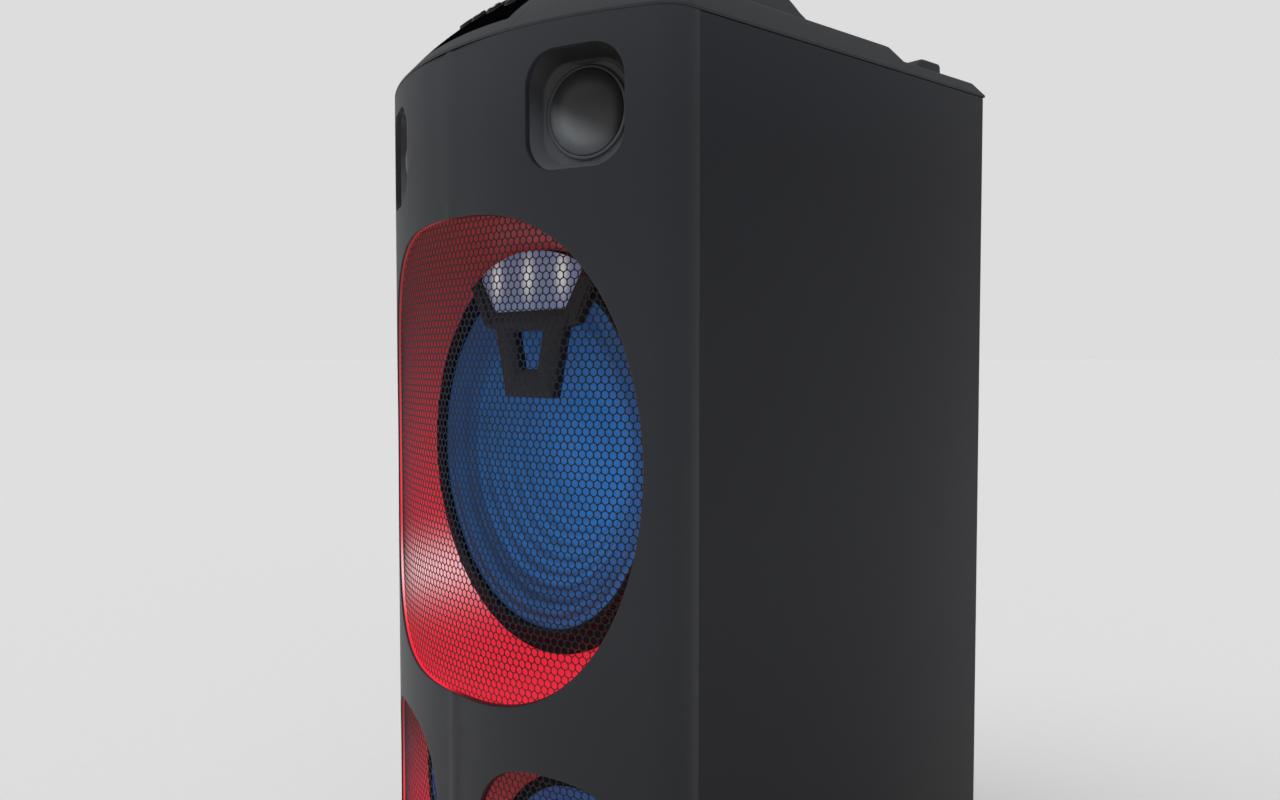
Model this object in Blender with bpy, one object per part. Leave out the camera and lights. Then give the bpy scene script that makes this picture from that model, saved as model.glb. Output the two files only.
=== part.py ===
"""Party speaker: a bow-fronted tower on four feet, with one woofer behind a lit dish,
two mid drivers below it, two tweeters above it, a raised control console on the lid
and a carry handle at the rear.

Frame: origin at the bottom centre, +Z up, the front faces -Y.  All sizes in metres.
"""
import math

import bmesh
import bpy
from mathutils import Vector

# ---- driving dimensions -------------------------------------------------------------
WIDTH = 0.330
SIDE_DEPTH = 0.303  # flat side panel, from its front edge to the back
BOW = 0.0685  # how far the front bulges past the side panels
BOW_RADIUS = 0.303
CORNER = 0.024  # round between the bowed front and the sides
FOOT_HEIGHT = 0.012
PLINTH_TOP = 0.0317
BODY_BOTTOM = 0.032
LID_EDGE = 0.665  # lower edge of the lid's sloping rim
GAP = 0.0003  # between pieces that touch

# sides of the round pieces; pieces that nest share a count, so their flats line up
RING_SIDES = 40
LOWER_SIDES = 32
WOOFER_SIDES = 24
MID_SIDES = 16
TWEETER_SIDES = 16
KNOB_SIDES = 20
SMALL_SIDES = 10

DEPTH = SIDE_DEPTH + BOW
BACK_Y = DEPTH / 2
SIDE_FRONT_Y = BACK_Y - SIDE_DEPTH
BOW_CENTRE_Y = BOW_RADIUS - DEPTH / 2
HALF = WIDTH / 2
CORNER_X = HALF - CORNER
CORNER_Y = BOW_CENTRE_Y - math.sqrt((BOW_RADIUS - CORNER) ** 2 - CORNER_X**2)
CORNER_HEADING = math.asin(CORNER_X / (BOW_RADIUS - CORNER))
BODY_TOP = LID_EDGE - 0.0018
LID_BOTTOM = BODY_TOP + GAP

SHELL_WALL = 0.003  # moulded front
BOARD_WALL = 0.006  # cabinet walls
BAFFLE_FRONT_Y = SIDE_FRONT_Y + 0.00375
BAFFLE_THICK = 0.012

# big front opening and the woofer behind it
WOOFER_Z = 0.398
UPPER_OPENING = dict(s=0.0, z=WOOFER_Z, half_w=0.1554, half_h=0.1573, powers=(3.0, 1.95))
RING_Y = SIDE_FRONT_Y + 0.00025  # plane of the woofer's trim ring
RING_RADIUS = 0.1414

# pair of lower openings, with a driver behind each that faces along the bow
MID_S = 0.0898  # distance from the centre line along the bow
MID_Z = 0.138
MID_RECESS = 0.0273
LOWER_OPENING = dict(z=MID_Z, half_w=0.0656, half_h=0.0695, powers=(2.6, 2.6))

# tweeter pockets
TWEETER_S = 0.1094
TWEETER_Z = 0.6115
TWEETER_RECESS = 0.0168
POCKET_W = 0.0344
POCKET_H = 0.03575
POCKET_CORNER = 0.021

# console on the lid
SEAM_X = 0.0606  # half width of the console frame
FASCIA_X = 0.050
FASCIA_START = 0.014  # distance in from the front edge
FASCIA_BACK_Y = 0.032
FRAME_BACK_Y = 0.041

# carry handle and its finger cup
HANDLE_HALF = 0.136
HANDLE_BACK_Y = 0.1712
HANDLE_TOP = LID_EDGE + 0.0273
CUP_X = 0.082
CUP_FRONT_Y = 0.094
CUP_BACK_Y = 0.168
CUP_DEPTH = 0.038
CUP_WALL = 0.0025


# ---- small helpers ------------------------------------------------------------------
def clear_scene():
    for old in list(bpy.data.objects):
        bpy.data.objects.remove(old, do_unlink=True)


def material(name, colour, roughness, metallic=0.0):
    """A Principled material with a plain colour."""
    made = bpy.data.materials.new(name)
    made.use_nodes = True
    shader = made.node_tree.nodes["Principled BSDF"]
    shader.inputs["Base Color"].default_value = (*colour, 1.0)
    shader.inputs["Roughness"].default_value = roughness
    shader.inputs["Metallic"].default_value = metallic
    made.diffuse_color = (*colour, 1.0)
    return made


def add(name, mesh, mat=None, parent=None, at=(0, 0, 0)):
    """A new object from a bmesh, with its faces turned outwards."""
    bmesh.ops.remove_doubles(mesh, verts=mesh.verts, dist=1e-7)
    bmesh.ops.recalc_face_normals(mesh, faces=mesh.faces)
    data = bpy.data.meshes.new(name)
    mesh.to_mesh(data)
    mesh.free()
    if mat:
        data.materials.append(mat)
    made = bpy.data.objects.new(name, data)
    bpy.context.collection.objects.link(made)
    made.parent = parent
    made.location = at
    if len(data.polygons) > 60:
        data.shade_smooth()
        data.set_sharp_from_angle(angle=math.radians(35))
    return made


def skin(loops, ends="wrap"):
    """A closed surface through loops of equal length; ends is wrap or caps."""
    mesh = bmesh.new()
    rings = [[mesh.verts.new(p) for p in loop] for loop in loops]
    pairs = list(zip(rings, rings[1:]))
    if ends == "wrap":
        pairs.append((rings[-1], rings[0]))
    for low, high in pairs:
        count = len(low)
        for i in range(count):
            j = (i + 1) % count
            mesh.faces.new((low[i], low[j], high[j], high[i]))
    if ends == "caps":
        mesh.faces.new(rings[0])
        mesh.faces.new(rings[-1])
    return mesh


def prism(outline, low, high, axis="z"):
    """An outline of (a, b) points pushed along an axis from low to high."""
    place = {
        "x": lambda a, b, c: (c, a, b),
        "y": lambda a, b, c: (a, c, b),
        "z": lambda a, b, c: (a, b, c),
    }[axis]
    return skin([[place(a, b, c) for a, b in outline] for c in (low, high)], "caps")


def box(low, high):
    outline = [(low[0], low[1]), (high[0], low[1]), (high[0], high[1]), (low[0], high[1])]
    return prism(outline, low[2], high[2])


def circle(radius, count, x=0.0, y=0.0):
    turn = 2 * math.pi / count
    return [(x + radius * math.cos(i * turn), y + radius * math.sin(i * turn)) for i in range(count)]


def lathe(profile, count, ends="wrap"):
    """A profile of (radius, z) points turned round the local Z axis."""
    return skin([[(x, y, z) for x, y in circle(r, count)] for r, z in profile], ends)


def cut(target, mesh, operation="DIFFERENCE", parent=None):
    """A Boolean on the target, with the tool left in the scene as a wire guide."""
    tool = add(target.name + "_tool", mesh, parent=parent)
    tool.hide_render = True
    tool.display_type = "WIRE"
    step = target.modifiers.new("cut", "BOOLEAN")
    step.operation = operation
    step.solver = "EXACT"
    step.object = tool
    return tool


def joined(*meshes):
    """Several closed shapes as one mesh, for a tool that cuts in many places."""
    whole = bmesh.new()
    for one in meshes:
        data = bpy.data.meshes.new("piece")
        bmesh.ops.recalc_face_normals(one, faces=one.faces)
        one.to_mesh(data)
        one.free()
        whole.from_mesh(data)
        bpy.data.meshes.remove(data)
    return whole


def axis_empty(name, at, heading):
    """An empty whose local Z points out of the front, turned by heading about the vertical."""
    made = bpy.data.objects.new(name, None)
    bpy.context.collection.objects.link(made)
    made.location = at
    made.rotation_euler = (math.pi / 2, 0.0, heading)
    return made


# ---- shapes that several pieces share -----------------------------------------------
def bow_outline(inset, back_y, bow_steps=20, corner_steps=4):
    """The front and its two round corners, left to right, moved in by inset."""
    points = [(-HALF + inset, back_y)]
    for i in range(corner_steps + 1):
        heading = -math.pi / 2 + (math.pi / 2 - CORNER_HEADING) * i / corner_steps
        reach = CORNER - inset
        points.append((-CORNER_X + reach * math.sin(heading), CORNER_Y - reach * math.cos(heading)))
    for i in range(1, bow_steps):
        heading = CORNER_HEADING * (2 * i / bow_steps - 1)
        reach = BOW_RADIUS - inset
        points.append((reach * math.sin(heading), BOW_CENTRE_Y - reach * math.cos(heading)))
    mirrored = [(-x, y) for x, y in points[: corner_steps + 2]]
    return points + mirrored[::-1]


def body_outline(inset):
    """The whole footprint: bowed front, flat sides and back."""
    front = bow_outline(inset, CORNER_Y)
    back = BACK_Y - inset
    return front[1:-1] + [(HALF - inset, back), (-HALF + inset, back)]


def on_bow(s, z, depth):
    """The point at arc length s and height z, depth below the bowed surface."""
    heading = s / BOW_RADIUS
    reach = BOW_RADIUS - depth
    return (reach * math.sin(heading), BOW_CENTRE_Y - reach * math.cos(heading), z)


def superellipse(half_w, half_h, powers, count):
    """Points where (u / half_w) ** powers[0] + (v / half_h) ** powers[1] is 1."""
    points = []
    for i in range(count):
        angle = 2 * math.pi * i / count
        c, s = math.cos(angle), math.sin(angle)
        u = half_w * math.copysign(abs(c) ** (2 / powers[0]), c)
        v = half_h * math.copysign(abs(s) ** (2 / powers[1]), s)
        points.append((u, v))
    return points


def opening_outline(s, z, half_w, half_h, powers, grow=0.0, count=RING_SIDES):
    """An opening's edge as (arc length, height) points, grown outwards."""
    edge = superellipse(half_w + grow, half_h + grow, powers, count)
    return [(s + u, z + v) for u, v in edge]


def rounded_rectangle(half_w, half_h, corner, count):
    """Points at even angles on a rectangle with round corners."""
    points = []
    for i in range(count):
        angle = 2 * math.pi * i / count
        c, s = math.cos(angle), math.sin(angle)
        low, high = 0.0, 2 * (half_w + half_h)
        for _ in range(40):
            mid = (low + high) / 2
            x, y = abs(mid * c), abs(mid * s)
            over_x = max(x - (half_w - corner), 0.0)
            over_y = max(y - (half_h - corner), 0.0)
            inside = math.hypot(over_x, over_y) < corner
            low, high = (mid, high) if inside else (low, mid)
        points.append((low * c, low * s))
    return points


def through_front(edge):
    """A tool that cuts an outline of (arc length, height) straight through the front."""
    outline = [(BOW_RADIUS * math.sin(s / BOW_RADIUS), z) for s, z in edge]
    return prism(outline, -DEPTH, SIDE_FRONT_Y + 0.001, "y")


# ---- the lid's surface --------------------------------------------------------------
RIM_RUN, RIM_RISE = 0.014, 0.015  # steep rim at the front edge
SLOPE_END, CROWN_START = 0.055, 0.113  # where the console's slope eases, and levels out
SIDE_RIM_RUN, SIDE_RIM_RISE = 0.015, 0.0203
FLANK_FOOT, FLANK_TOP = 0.110, 0.066  # the console's sloping sides
BACK_RIM = 0.0095
HUMP_END_Y, DECK_Y = 0.043, 0.0824


def front_rise(d):
    """Height over the lid's edge at distance d in from the front: steep, easing to level."""
    slope_run = SLOPE_END - RIM_RUN
    ease_run = CROWN_START - SLOPE_END
    steep = min(d, RIM_RUN) * RIM_RISE / RIM_RUN
    a = min(max(d - RIM_RUN, 0.0), slope_run)
    slope = 0.93 * a - (0.93 - 0.70) * a * a / (2 * slope_run)
    b = min(max(d - SLOPE_END, 0.0), ease_run)
    ease = 0.70 * b - 0.70 * b * b / (2 * ease_run)
    return steep + slope + ease


def side_rise(d):
    """Height allowed at distance d in from a side: rim, deck, then the console's flank."""
    rim = min(d, SIDE_RIM_RUN) * SIDE_RIM_RISE / SIDE_RIM_RUN
    flank = max(d - (HALF - FLANK_FOOT), 0.0) * 0.08 / (FLANK_FOOT - FLANK_TOP)
    return rim + flank


def back_rise(y):
    """Height allowed at y: crown, slope down to the deck, step down, low rim at the back."""
    if y < DECK_Y:
        return SIDE_RIM_RISE + max(DECK_Y - 0.004 - y, 0.0) * 1.4
    step = SIDE_RIM_RISE - (y - DECK_Y) * (SIDE_RIM_RISE - BACK_RIM) / 0.0076
    low = max(step, BACK_RIM)
    return min(low, max(BACK_Y - y, 0.0) * BACK_RIM / 0.007)


def lid_z(x, y):
    """The lid's upper surface."""
    side = HALF - abs(x)
    front = BOW_RADIUS - math.hypot(x, y - BOW_CENTRE_Y)
    over_x, over_y = abs(x) - CORNER_X, CORNER_Y - y
    if over_x > 0 and over_y > 0 and math.atan2(over_x, over_y) > CORNER_HEADING:
        side = front = CORNER - math.hypot(over_x, over_y)
    rise = min(front_rise(max(front, 0.0)), side_rise(max(side, 0.0)), back_rise(y))
    return LID_EDGE + max(rise, 0.0)


def lid_slope(d):
    """The tangent of the console's slope at distance d in from the front."""
    step = 1e-5
    return (front_rise(d + step) - front_rise(d - step)) / (2 * step)


def front_edge_y(x, inset=0.0):
    """The front edge at x, moved in by inset."""
    if abs(x) > BOW_RADIUS * math.sin(CORNER_HEADING):
        return CORNER_Y - math.sqrt(max((CORNER - inset) ** 2 - (abs(x) - CORNER_X) ** 2, 0.0))
    return BOW_CENTRE_Y - math.sqrt((BOW_RADIUS - inset) ** 2 - x * x)


def sheet(columns, rows, top, bottom):
    """A closed solid between two height functions; rows(x) gives a column's y values."""
    mesh = bmesh.new()
    grid = []
    for x in columns:
        column = [(x, y) for y in rows(x)]
        upper = [mesh.verts.new((x, y, top(x, y))) for x, y in column]
        lower = [mesh.verts.new((x, y, bottom(x, y))) for x, y in column]
        grid.append((upper, lower))
    for (up_a, low_a), (up_b, low_b) in zip(grid, grid[1:]):
        for i in range(len(up_a) - 1):
            mesh.faces.new((up_a[i], up_b[i], up_b[i + 1], up_a[i + 1]))
            mesh.faces.new((low_a[i], low_a[i + 1], low_b[i + 1], low_b[i]))
        for i in (0, -1):
            mesh.faces.new((up_a[i], low_a[i], low_b[i], up_b[i]))
    for upper, lower in (grid[0], grid[-1]):
        for i in range(len(upper) - 1):
            mesh.faces.new((upper[i], upper[i + 1], lower[i + 1], lower[i]))
    return mesh


def spread(low, high, count):
    return [low + (high - low) * i / count for i in range(count + 1)]


def console_patch(half_w, d_front, back, drop, thick, columns=6, rows=12):
    """A piece of the console's skin: |x| up to half_w, from d_front in from the front edge.

    back is either a y value or, given as ("d", value), a second distance from the front.
    """

    def stations(x):
        start = front_edge_y(x, d_front)
        end = front_edge_y(x, back[1]) if isinstance(back, tuple) else back
        return spread(start, end, rows)

    def top(x, y):
        return lid_z(x, y) - drop

    return sheet(spread(-half_w, half_w, columns), stations, top, lambda x, y: top(x, y) - thick)


def console_window(half_w, d_front, back):
    """An upright tool with the outline of a console patch."""
    edge = [(x, front_edge_y(x, d_front)) for x in spread(-half_w, half_w, 8)]
    if isinstance(back, tuple):
        far = [(x, front_edge_y(x, back[1])) for x in spread(half_w, -half_w, 8)]
    else:
        far = [(half_w, back), (-half_w, back)]
    return prism(edge + far, LID_BOTTOM - 0.01, LID_EDGE + 0.1)


# ---- materials ----------------------------------------------------------------------
def make_materials():
    return {
        "casing": material("casing", (0.055, 0.06, 0.066), 0.45),
        "cabinet": material("cabinet", (0.032, 0.033, 0.037), 0.55),
        "board": material("board", (0.35, 0.24, 0.14), 0.8),
        "rubber": material("rubber", (0.015, 0.015, 0.016), 0.85),
        "mesh": material("mesh", (0.02, 0.02, 0.022), 0.4, 0.6),
        "glow": material("glow", (0.85, 0.04, 0.06), 0.35),
        "trim": material("trim", (0.02, 0.022, 0.022), 0.4),
        "cone": material("cone", (0.05, 0.16, 0.5), 0.5),
        "steel": material("steel", (0.45, 0.46, 0.48), 0.35, 1.0),
        "ferrite": material("ferrite", (0.06, 0.06, 0.065), 0.6, 0.3),
        "copper": material("copper", (0.72, 0.35, 0.18), 0.35, 1.0),
        "cloth": material("cloth", (0.6, 0.42, 0.2), 0.9),
        "gloss": material("gloss", (0.005, 0.005, 0.006), 0.08),
        "lens": material("lens", (0.6, 0.7, 0.85), 0.15),
        "circuit": material("circuit", (0.03, 0.2, 0.09), 0.5),
        "dome": material("dome", (0.02, 0.02, 0.022), 0.15),
        "key": material("key", (0.1, 0.1, 0.11), 0.3),
    }


# ---- cabinet ------------------------------------------------------------------------
def cabinet_shell(mats):
    """A rectangular tube, open at front and back, with a hole for the finger cup."""
    outer = [(-HALF, BODY_BOTTOM), (HALF, BODY_BOTTOM), (HALF, BODY_TOP), (-HALF, BODY_TOP)]
    w = BOARD_WALL
    inner = [(-HALF + w, BODY_BOTTOM + w), (HALF - w, BODY_BOTTOM + w),
             (HALF - w, BODY_TOP - w), (-HALF + w, BODY_TOP - w)]
    front, back = SIDE_FRONT_Y, BACK_Y
    loops = [[(x, y, z) for x, z in edge] for edge, y in
             ((outer, front), (outer, back), (inner, back), (inner, front))]
    shell = add("cabinet_shell", skin(loops), mats["cabinet"])
    room = CUP_WALL + 2 * GAP + 0.001
    cut(shell, box((-CUP_X - room, CUP_FRONT_Y - room, BODY_TOP - 0.02),
                   (CUP_X + room, CUP_BACK_Y + room, BODY_TOP + 0.02)))


def front_shell(mats):
    """The bowed moulding: a tray open to the back, cut for the grilles and tweeters."""
    back_y = SIDE_FRONT_Y - GAP
    shell = add("front_shell", prism(bow_outline(0.0, back_y), BODY_BOTTOM, BODY_TOP), mats["casing"])
    hollow = bow_outline(SHELL_WALL, back_y + 0.01)
    cut(shell, prism(hollow, BODY_BOTTOM + SHELL_WALL, BODY_TOP - SHELL_WALL))
    cut(shell, through_front(opening_outline(**UPPER_OPENING)))
    for side in (-1, 1):
        cut(shell, through_front(opening_outline(side * MID_S, count=LOWER_SIDES, **LOWER_OPENING)))
        pocket = rounded_rectangle(POCKET_W, POCKET_H, POCKET_CORNER, 28)
        cut(shell, through_front([(side * TWEETER_S + u, TWEETER_Z + v) for u, v in pocket]))


def baffle_board(mats):
    """The flat board behind the moulding that the woofer is screwed to."""
    x = HALF - BOARD_WALL - GAP
    low, high = BODY_BOTTOM + BOARD_WALL + GAP, BODY_TOP - BOARD_WALL - GAP
    back_y = BAFFLE_FRONT_Y + BAFFLE_THICK
    board = add("baffle_board", box((-x, BAFFLE_FRONT_Y, low), (x, back_y, high)), mats["board"])
    holes = [prism(circle(0.1165, RING_SIDES, 0.0, WOOFER_Z), -0.2, 0.0, "y")]
    for side in (-1, 1):
        holes.append(prism(circle(0.046, MID_SIDES, side * 0.068, MID_Z), -0.2, 0.0, "y"))
    cut(board, joined(*holes))


REAR_INNER_Y, REAR_OUTER_Y = 0.1790, 0.1842
IO_X, IO_LOW, IO_HIGH = 0.060, 0.300, 0.420
INLET_X, INLET_Z, INLET_HALF_W, INLET_HALF_H = 0.0, 0.325, 0.0155, 0.0125
JACK_RADIUS = 0.0052
JACKS = ((-0.036, 0.393), (-0.012, 0.393))
PORT_Z, PORT_RADIUS, PORT_WALL, PORT_LENGTH = 0.200, 0.0310, 0.0025, 0.090


def rear_panel(mats):
    """The back board, with a window for the socket plate and a round hole for the port."""
    x = HALF - BOARD_WALL - GAP
    low, high = BODY_BOTTOM + BOARD_WALL + GAP, BODY_TOP - BOARD_WALL - GAP
    panel = add("rear_panel", box((-x, REAR_INNER_Y, low), (x, REAR_OUTER_Y, high)), mats["cabinet"])
    window = box((-IO_X - GAP, 0.15, IO_LOW - GAP), (IO_X + GAP, 0.21, IO_HIGH + GAP))
    port = prism(circle(PORT_RADIUS + GAP, KNOB_SIDES, 0.0, PORT_Z), 0.15, 0.21, "y")
    cut(panel, joined(window, port))


def socket_plate(mats):
    """Plate with two microphone jacks, a power inlet window and a memory-stick slot."""
    plate = add("socket_plate", box((-IO_X, 0.1800, IO_LOW), (IO_X, 0.1835, IO_HIGH)), mats["trim"])
    w, h = INLET_HALF_W + GAP, INLET_HALF_H + GAP
    holes = [box((INLET_X - w, 0.15, INLET_Z - h), (INLET_X + w, 0.21, INLET_Z + h)),
             box((0.022, 0.15, 0.3895), (0.037, 0.21, 0.3965))]
    for x, z in JACKS:
        holes.append(prism(circle(JACK_RADIUS, SMALL_SIDES, x, z), 0.15, 0.21, "y"))
    cut(plate, joined(*holes))


def power_inlet(mats):
    """Mains inlet: a block with a socket that opens to the back."""
    low = (INLET_X - INLET_HALF_W, 0.1560, INLET_Z - INLET_HALF_H)
    high = (INLET_X + INLET_HALF_W, 0.1838, INLET_Z + INLET_HALF_H)
    inlet = add("power_inlet", box(low, high), mats["trim"])
    cut(inlet, box((INLET_X - 0.0115, 0.1640, INLET_Z - 0.0085), (INLET_X + 0.0115, 0.21, INLET_Z + 0.0085)))


def port_tube(mats):
    """Bass port: a straight tube with a flange on the outside of the rear panel."""
    inner = PORT_RADIUS - PORT_WALL
    flange, face, start = PORT_RADIUS + 0.006, 0.1855, 0.1855 - PORT_LENGTH
    profile = [(inner, face), (flange, face), (flange, REAR_OUTER_Y + GAP),
               (PORT_RADIUS, REAR_OUTER_Y + GAP), (PORT_RADIUS, start), (inner, start)]
    loops = [[(x, y, z) for x, z in circle(r, KNOB_SIDES, 0.0, PORT_Z)] for r, y in profile]
    add("port_tube", skin(loops), mats["trim"])


def amplifier_board(mats):
    """Circuit board on the socket plate's side, with a finned sink and two capacitors."""
    board = add("amplifier_board", box((-0.058, 0.1400, 0.290), (0.058, 0.1416, 0.430)), mats["circuit"])
    fins = [box((-0.045 + i * 0.018, 0.1100, 0.370), (-0.039 + i * 0.018, 0.1350, 0.420)) for i in range(6)]
    cut(board, box((-0.050, 0.1330, 0.368), (0.056, 0.1405, 0.422)), "UNION")
    cut(board, joined(*fins), "UNION")
    cans = [prism(circle(0.009, SMALL_SIDES, x, 0.335), 0.1120, 0.1405, "y") for x in (-0.03, 0.03)]
    cut(board, joined(*cans), "UNION")


def base_plinth(mats):
    """A shallow tray under the cabinet, set in a little from its sides."""
    inset = 0.006
    outer, inner = body_outline(inset), body_outline(inset + 0.005)
    floor = FOOT_HEIGHT + 0.004
    plinth = add("base_plinth", prism(outer, FOOT_HEIGHT, PLINTH_TOP), mats["cabinet"])
    cut(plinth, prism(inner, floor, PLINTH_TOP + 0.01))


def feet(mats):
    for end, y in (("front", -0.105), ("rear", 0.150)):
        for side, x in (("left", -0.125), ("right", 0.125)):
            profile = [(0.013, 0.0), (0.016, 0.004), (0.017, FOOT_HEIGHT - GAP)]
            add(f"foot_{end}_{side}", lathe(profile, SMALL_SIDES, "caps"), mats["rubber"], at=(x, y, 0))


# ---- lid, handle and console --------------------------------------------------------
def top_cover(mats):
    """The lid: a shell with a steep rim, a raised middle and a low rear deck."""
    corner = [CORNER_X + CORNER * math.sin(CORNER_HEADING + (math.pi / 2 - CORNER_HEADING) * i / 4)
              for i in range(5)]
    half = [0.0, 0.03, SEAM_X, FLANK_TOP, FLANK_FOOT, HALF - SIDE_RIM_RUN] + corner
    columns = [-x for x in reversed(half[1:])] + half
    near = [0.0, RIM_RUN, 0.030, SLOPE_END, 0.083, CROWN_START]
    far = [HUMP_END_Y, DECK_Y - 0.004, DECK_Y, DECK_Y + 0.0076, BACK_Y - 0.007, BACK_Y]

    def rows(x):
        return [front_edge_y(x) + step for step in near] + far

    def bottom(x, y):
        return max(LID_BOTTOM, lid_z(x, y) - 0.0045)

    lid = add("top_cover", sheet(columns, rows, lid_z, bottom), mats["casing"])
    edge = [(x, front_edge_y(x) - 0.01) for x in spread(-SEAM_X - GAP, SEAM_X + GAP, 4)]
    notch = prism(edge + [(SEAM_X + GAP, FRAME_BACK_Y + GAP), (-SEAM_X - GAP, FRAME_BACK_Y + GAP)], 0.6, 0.8)
    cut(lid, notch)
    room = CUP_WALL + GAP
    cut(lid, box((-CUP_X - room, CUP_FRONT_Y - room, 0.6), (CUP_X + room, CUP_BACK_Y + room, 0.8)))


def handle_cup(mats):
    """The tub that makes room for fingers under the carry bar."""
    top = LID_EDGE + BACK_RIM
    low = top - CUP_DEPTH

    def edge(grow, z, taper=0.0):
        x, y0, y1 = CUP_X + grow - taper, CUP_FRONT_Y - grow + taper, CUP_BACK_Y + grow - taper
        return [(-x, y0, z), (x, y0, z), (x, y1, z), (-x, y1, z)]

    loops = [edge(0.0, low, 0.004), edge(0.0, top), edge(CUP_WALL, top), edge(CUP_WALL, low - CUP_WALL, 0.004)]
    add("handle_cup", skin(loops, "caps"), mats["trim"])


def carry_handle(mats):
    """A bar right across the rear of the lid, on two feet, with a sloping front face."""
    foot = LID_EDGE + BACK_RIM + GAP
    section = [(0.1290, foot), (HANDLE_BACK_Y, foot), (HANDLE_BACK_Y, HANDLE_TOP), (0.1458, HANDLE_TOP)]
    bar = add("carry_handle", prism(section, -HANDLE_HALF, HANDLE_HALF, "x"), mats["casing"])
    arch = CUP_X + 0.006
    cut(bar, box((-arch, 0.12, 0.6), (arch, 0.18, LID_EDGE + 0.0140)))


BUTTON_D, BUTTON_STEP, BUTTON_RADIUS = 0.036, math.radians(4.4), 0.0056
DISPLAY_X, DISPLAY_D = 0.027, (0.052, 0.071)
VOLUME_Y, VOLUME_RADIUS = -0.030, 0.0220
MIC_Y, MIC_RADIUS = 0.014, 0.0085
SHAFT_RADIUS = 0.0030


def button_places():
    """Each button's name, centre on the slope and outward normal."""
    names = ("power", "previous", "play", "next", "light")
    reach = BOW_RADIUS - BUTTON_D
    slope = lid_slope(BUTTON_D)
    for i, name in enumerate(names):
        heading = (i - 2) * BUTTON_STEP
        x, y = reach * math.sin(heading), BOW_CENTRE_Y - reach * math.cos(heading)
        normal = Vector((slope * math.sin(heading), -slope * math.cos(heading), 1.0)).normalized()
        yield name, Vector((x, y, lid_z(x, y))), normal


def tilted(name, at, normal):
    """An empty at a point, with its local Z along a normal."""
    made = bpy.data.objects.new(name, None)
    bpy.context.collection.objects.link(made)
    made.location = at
    made.rotation_mode = "QUATERNION"
    made.rotation_quaternion = Vector((0, 0, 1)).rotation_difference(normal)
    return made


def console(mats):
    """Frame, gloss fascia, display window, five keys and two knobs."""
    frame = add("console_frame", sheet(
        spread(-SEAM_X, SEAM_X, 6),
        lambda x: [front_edge_y(x) + d for d in (0.0, 0.0139, 0.030, 0.055, 0.083, 0.113)]
        + [FRAME_BACK_Y],
        lid_z, lambda x, y: max(LID_BOTTOM, lid_z(x, y) - 0.0045)), mats["casing"])
    cut(frame, console_window(FASCIA_X + GAP, FASCIA_START, FASCIA_BACK_Y + GAP))
    fascia = add("control_fascia", console_patch(
        FASCIA_X, FASCIA_START + GAP, FASCIA_BACK_Y, 0.0002, 0.0026, 7, 10), mats["gloss"])
    cut(fascia, console_window(DISPLAY_X + GAP, DISPLAY_D[0] - GAP, ("d", DISPLAY_D[1] + GAP)))
    add("display_window", console_patch(
        DISPLAY_X, DISPLAY_D[0], ("d", DISPLAY_D[1]), 0.0004, 0.0020, 4, 2), mats["gloss"])
    crown = LID_EDGE + front_rise(CROWN_START)
    holes = [prism(circle(SHAFT_RADIUS + 0.0005, SMALL_SIDES, 0.0, y), 0.7, 0.8) for y in (VOLUME_Y, MIC_Y)]
    cut(fascia, joined(*holes))
    for name, at, normal in button_places():
        seat = tilted(f"{name}_seat", at, normal)
        key = [(0.0010, 0.0018), (BUTTON_RADIUS - 0.0008, 0.0018), (BUTTON_RADIUS, 0.0010),
               (BUTTON_RADIUS, -0.0045), (0.0010, -0.0045)]
        add(f"button_{name}", lathe(key, SMALL_SIDES, "caps"), mats["key"], seat)
        hole = lathe([(BUTTON_RADIUS + 0.0004, -0.012), (BUTTON_RADIUS + 0.0004, 0.012)], SMALL_SIDES, "caps")
        cut(fascia, hole, parent=seat)
    knob(mats, "volume_knob", VOLUME_Y, VOLUME_RADIUS, 0.0125, crown, KNOB_SIDES)
    knob(mats, "mic_knob", MIC_Y, MIC_RADIUS, 0.0100, crown, SMALL_SIDES)
    plank = box((-0.044, -0.062, crown - 0.0160), (0.044, 0.028, crown - 0.0144))
    board = add("control_board", plank, mats["circuit"])
    cans = [prism(circle(0.0065, SMALL_SIDES, 0.0, y), crown - 0.0150, crown - 0.0090)
            for y in (VOLUME_Y, MIC_Y)]
    cut(board, joined(*cans), "UNION")


def knob(mats, name, y, radius, height, crown, count):
    """A turned knob with a marker groove, on a shaft that goes through the fascia."""
    low = 0.0004
    profile = [(0.0010, height), (radius * 0.86, height), (radius * 0.94, height - 0.0012),
               (radius, low), (SHAFT_RADIUS, low), (SHAFT_RADIUS, -0.0080), (0.0010, -0.0080)]
    made = add(name, lathe(profile, count, "caps"), mats["trim"], at=(0, y, crown))
    cut(made, box((-0.0008, -radius * 0.85, height - 0.0006), (0.0008, -radius * 0.45, height + 0.002)),
        parent=made)


# ---- grilles and lit dishes ---------------------------------------------------------
GRILLE_DEPTH, GRILLE_THICK = 0.0012, 0.0012


def grille(mats, name, opening, steps, count):
    """A bowed sheet that fills an opening just below the surface."""
    reach = (opening["half_w"] + 0.004) / BOW_RADIUS
    middle = opening["s"] / BOW_RADIUS
    arc = spread(middle - reach, middle + reach, steps)

    def bowed(depth, headings):
        r = BOW_RADIUS - depth
        return [(r * math.sin(a), BOW_CENTRE_Y - r * math.cos(a)) for a in headings]

    outline = bowed(GRILLE_DEPTH, arc) + bowed(GRILLE_DEPTH + GRILLE_THICK, arc[::-1])
    low, high = opening["z"] - opening["half_h"] - 0.005, opening["z"] + opening["half_h"] + 0.005
    made = add(name, prism(outline, low, high), mats["mesh"])
    cut(made, through_front(opening_outline(grow=-GAP, count=count, **opening)), "INTERSECT")


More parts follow.
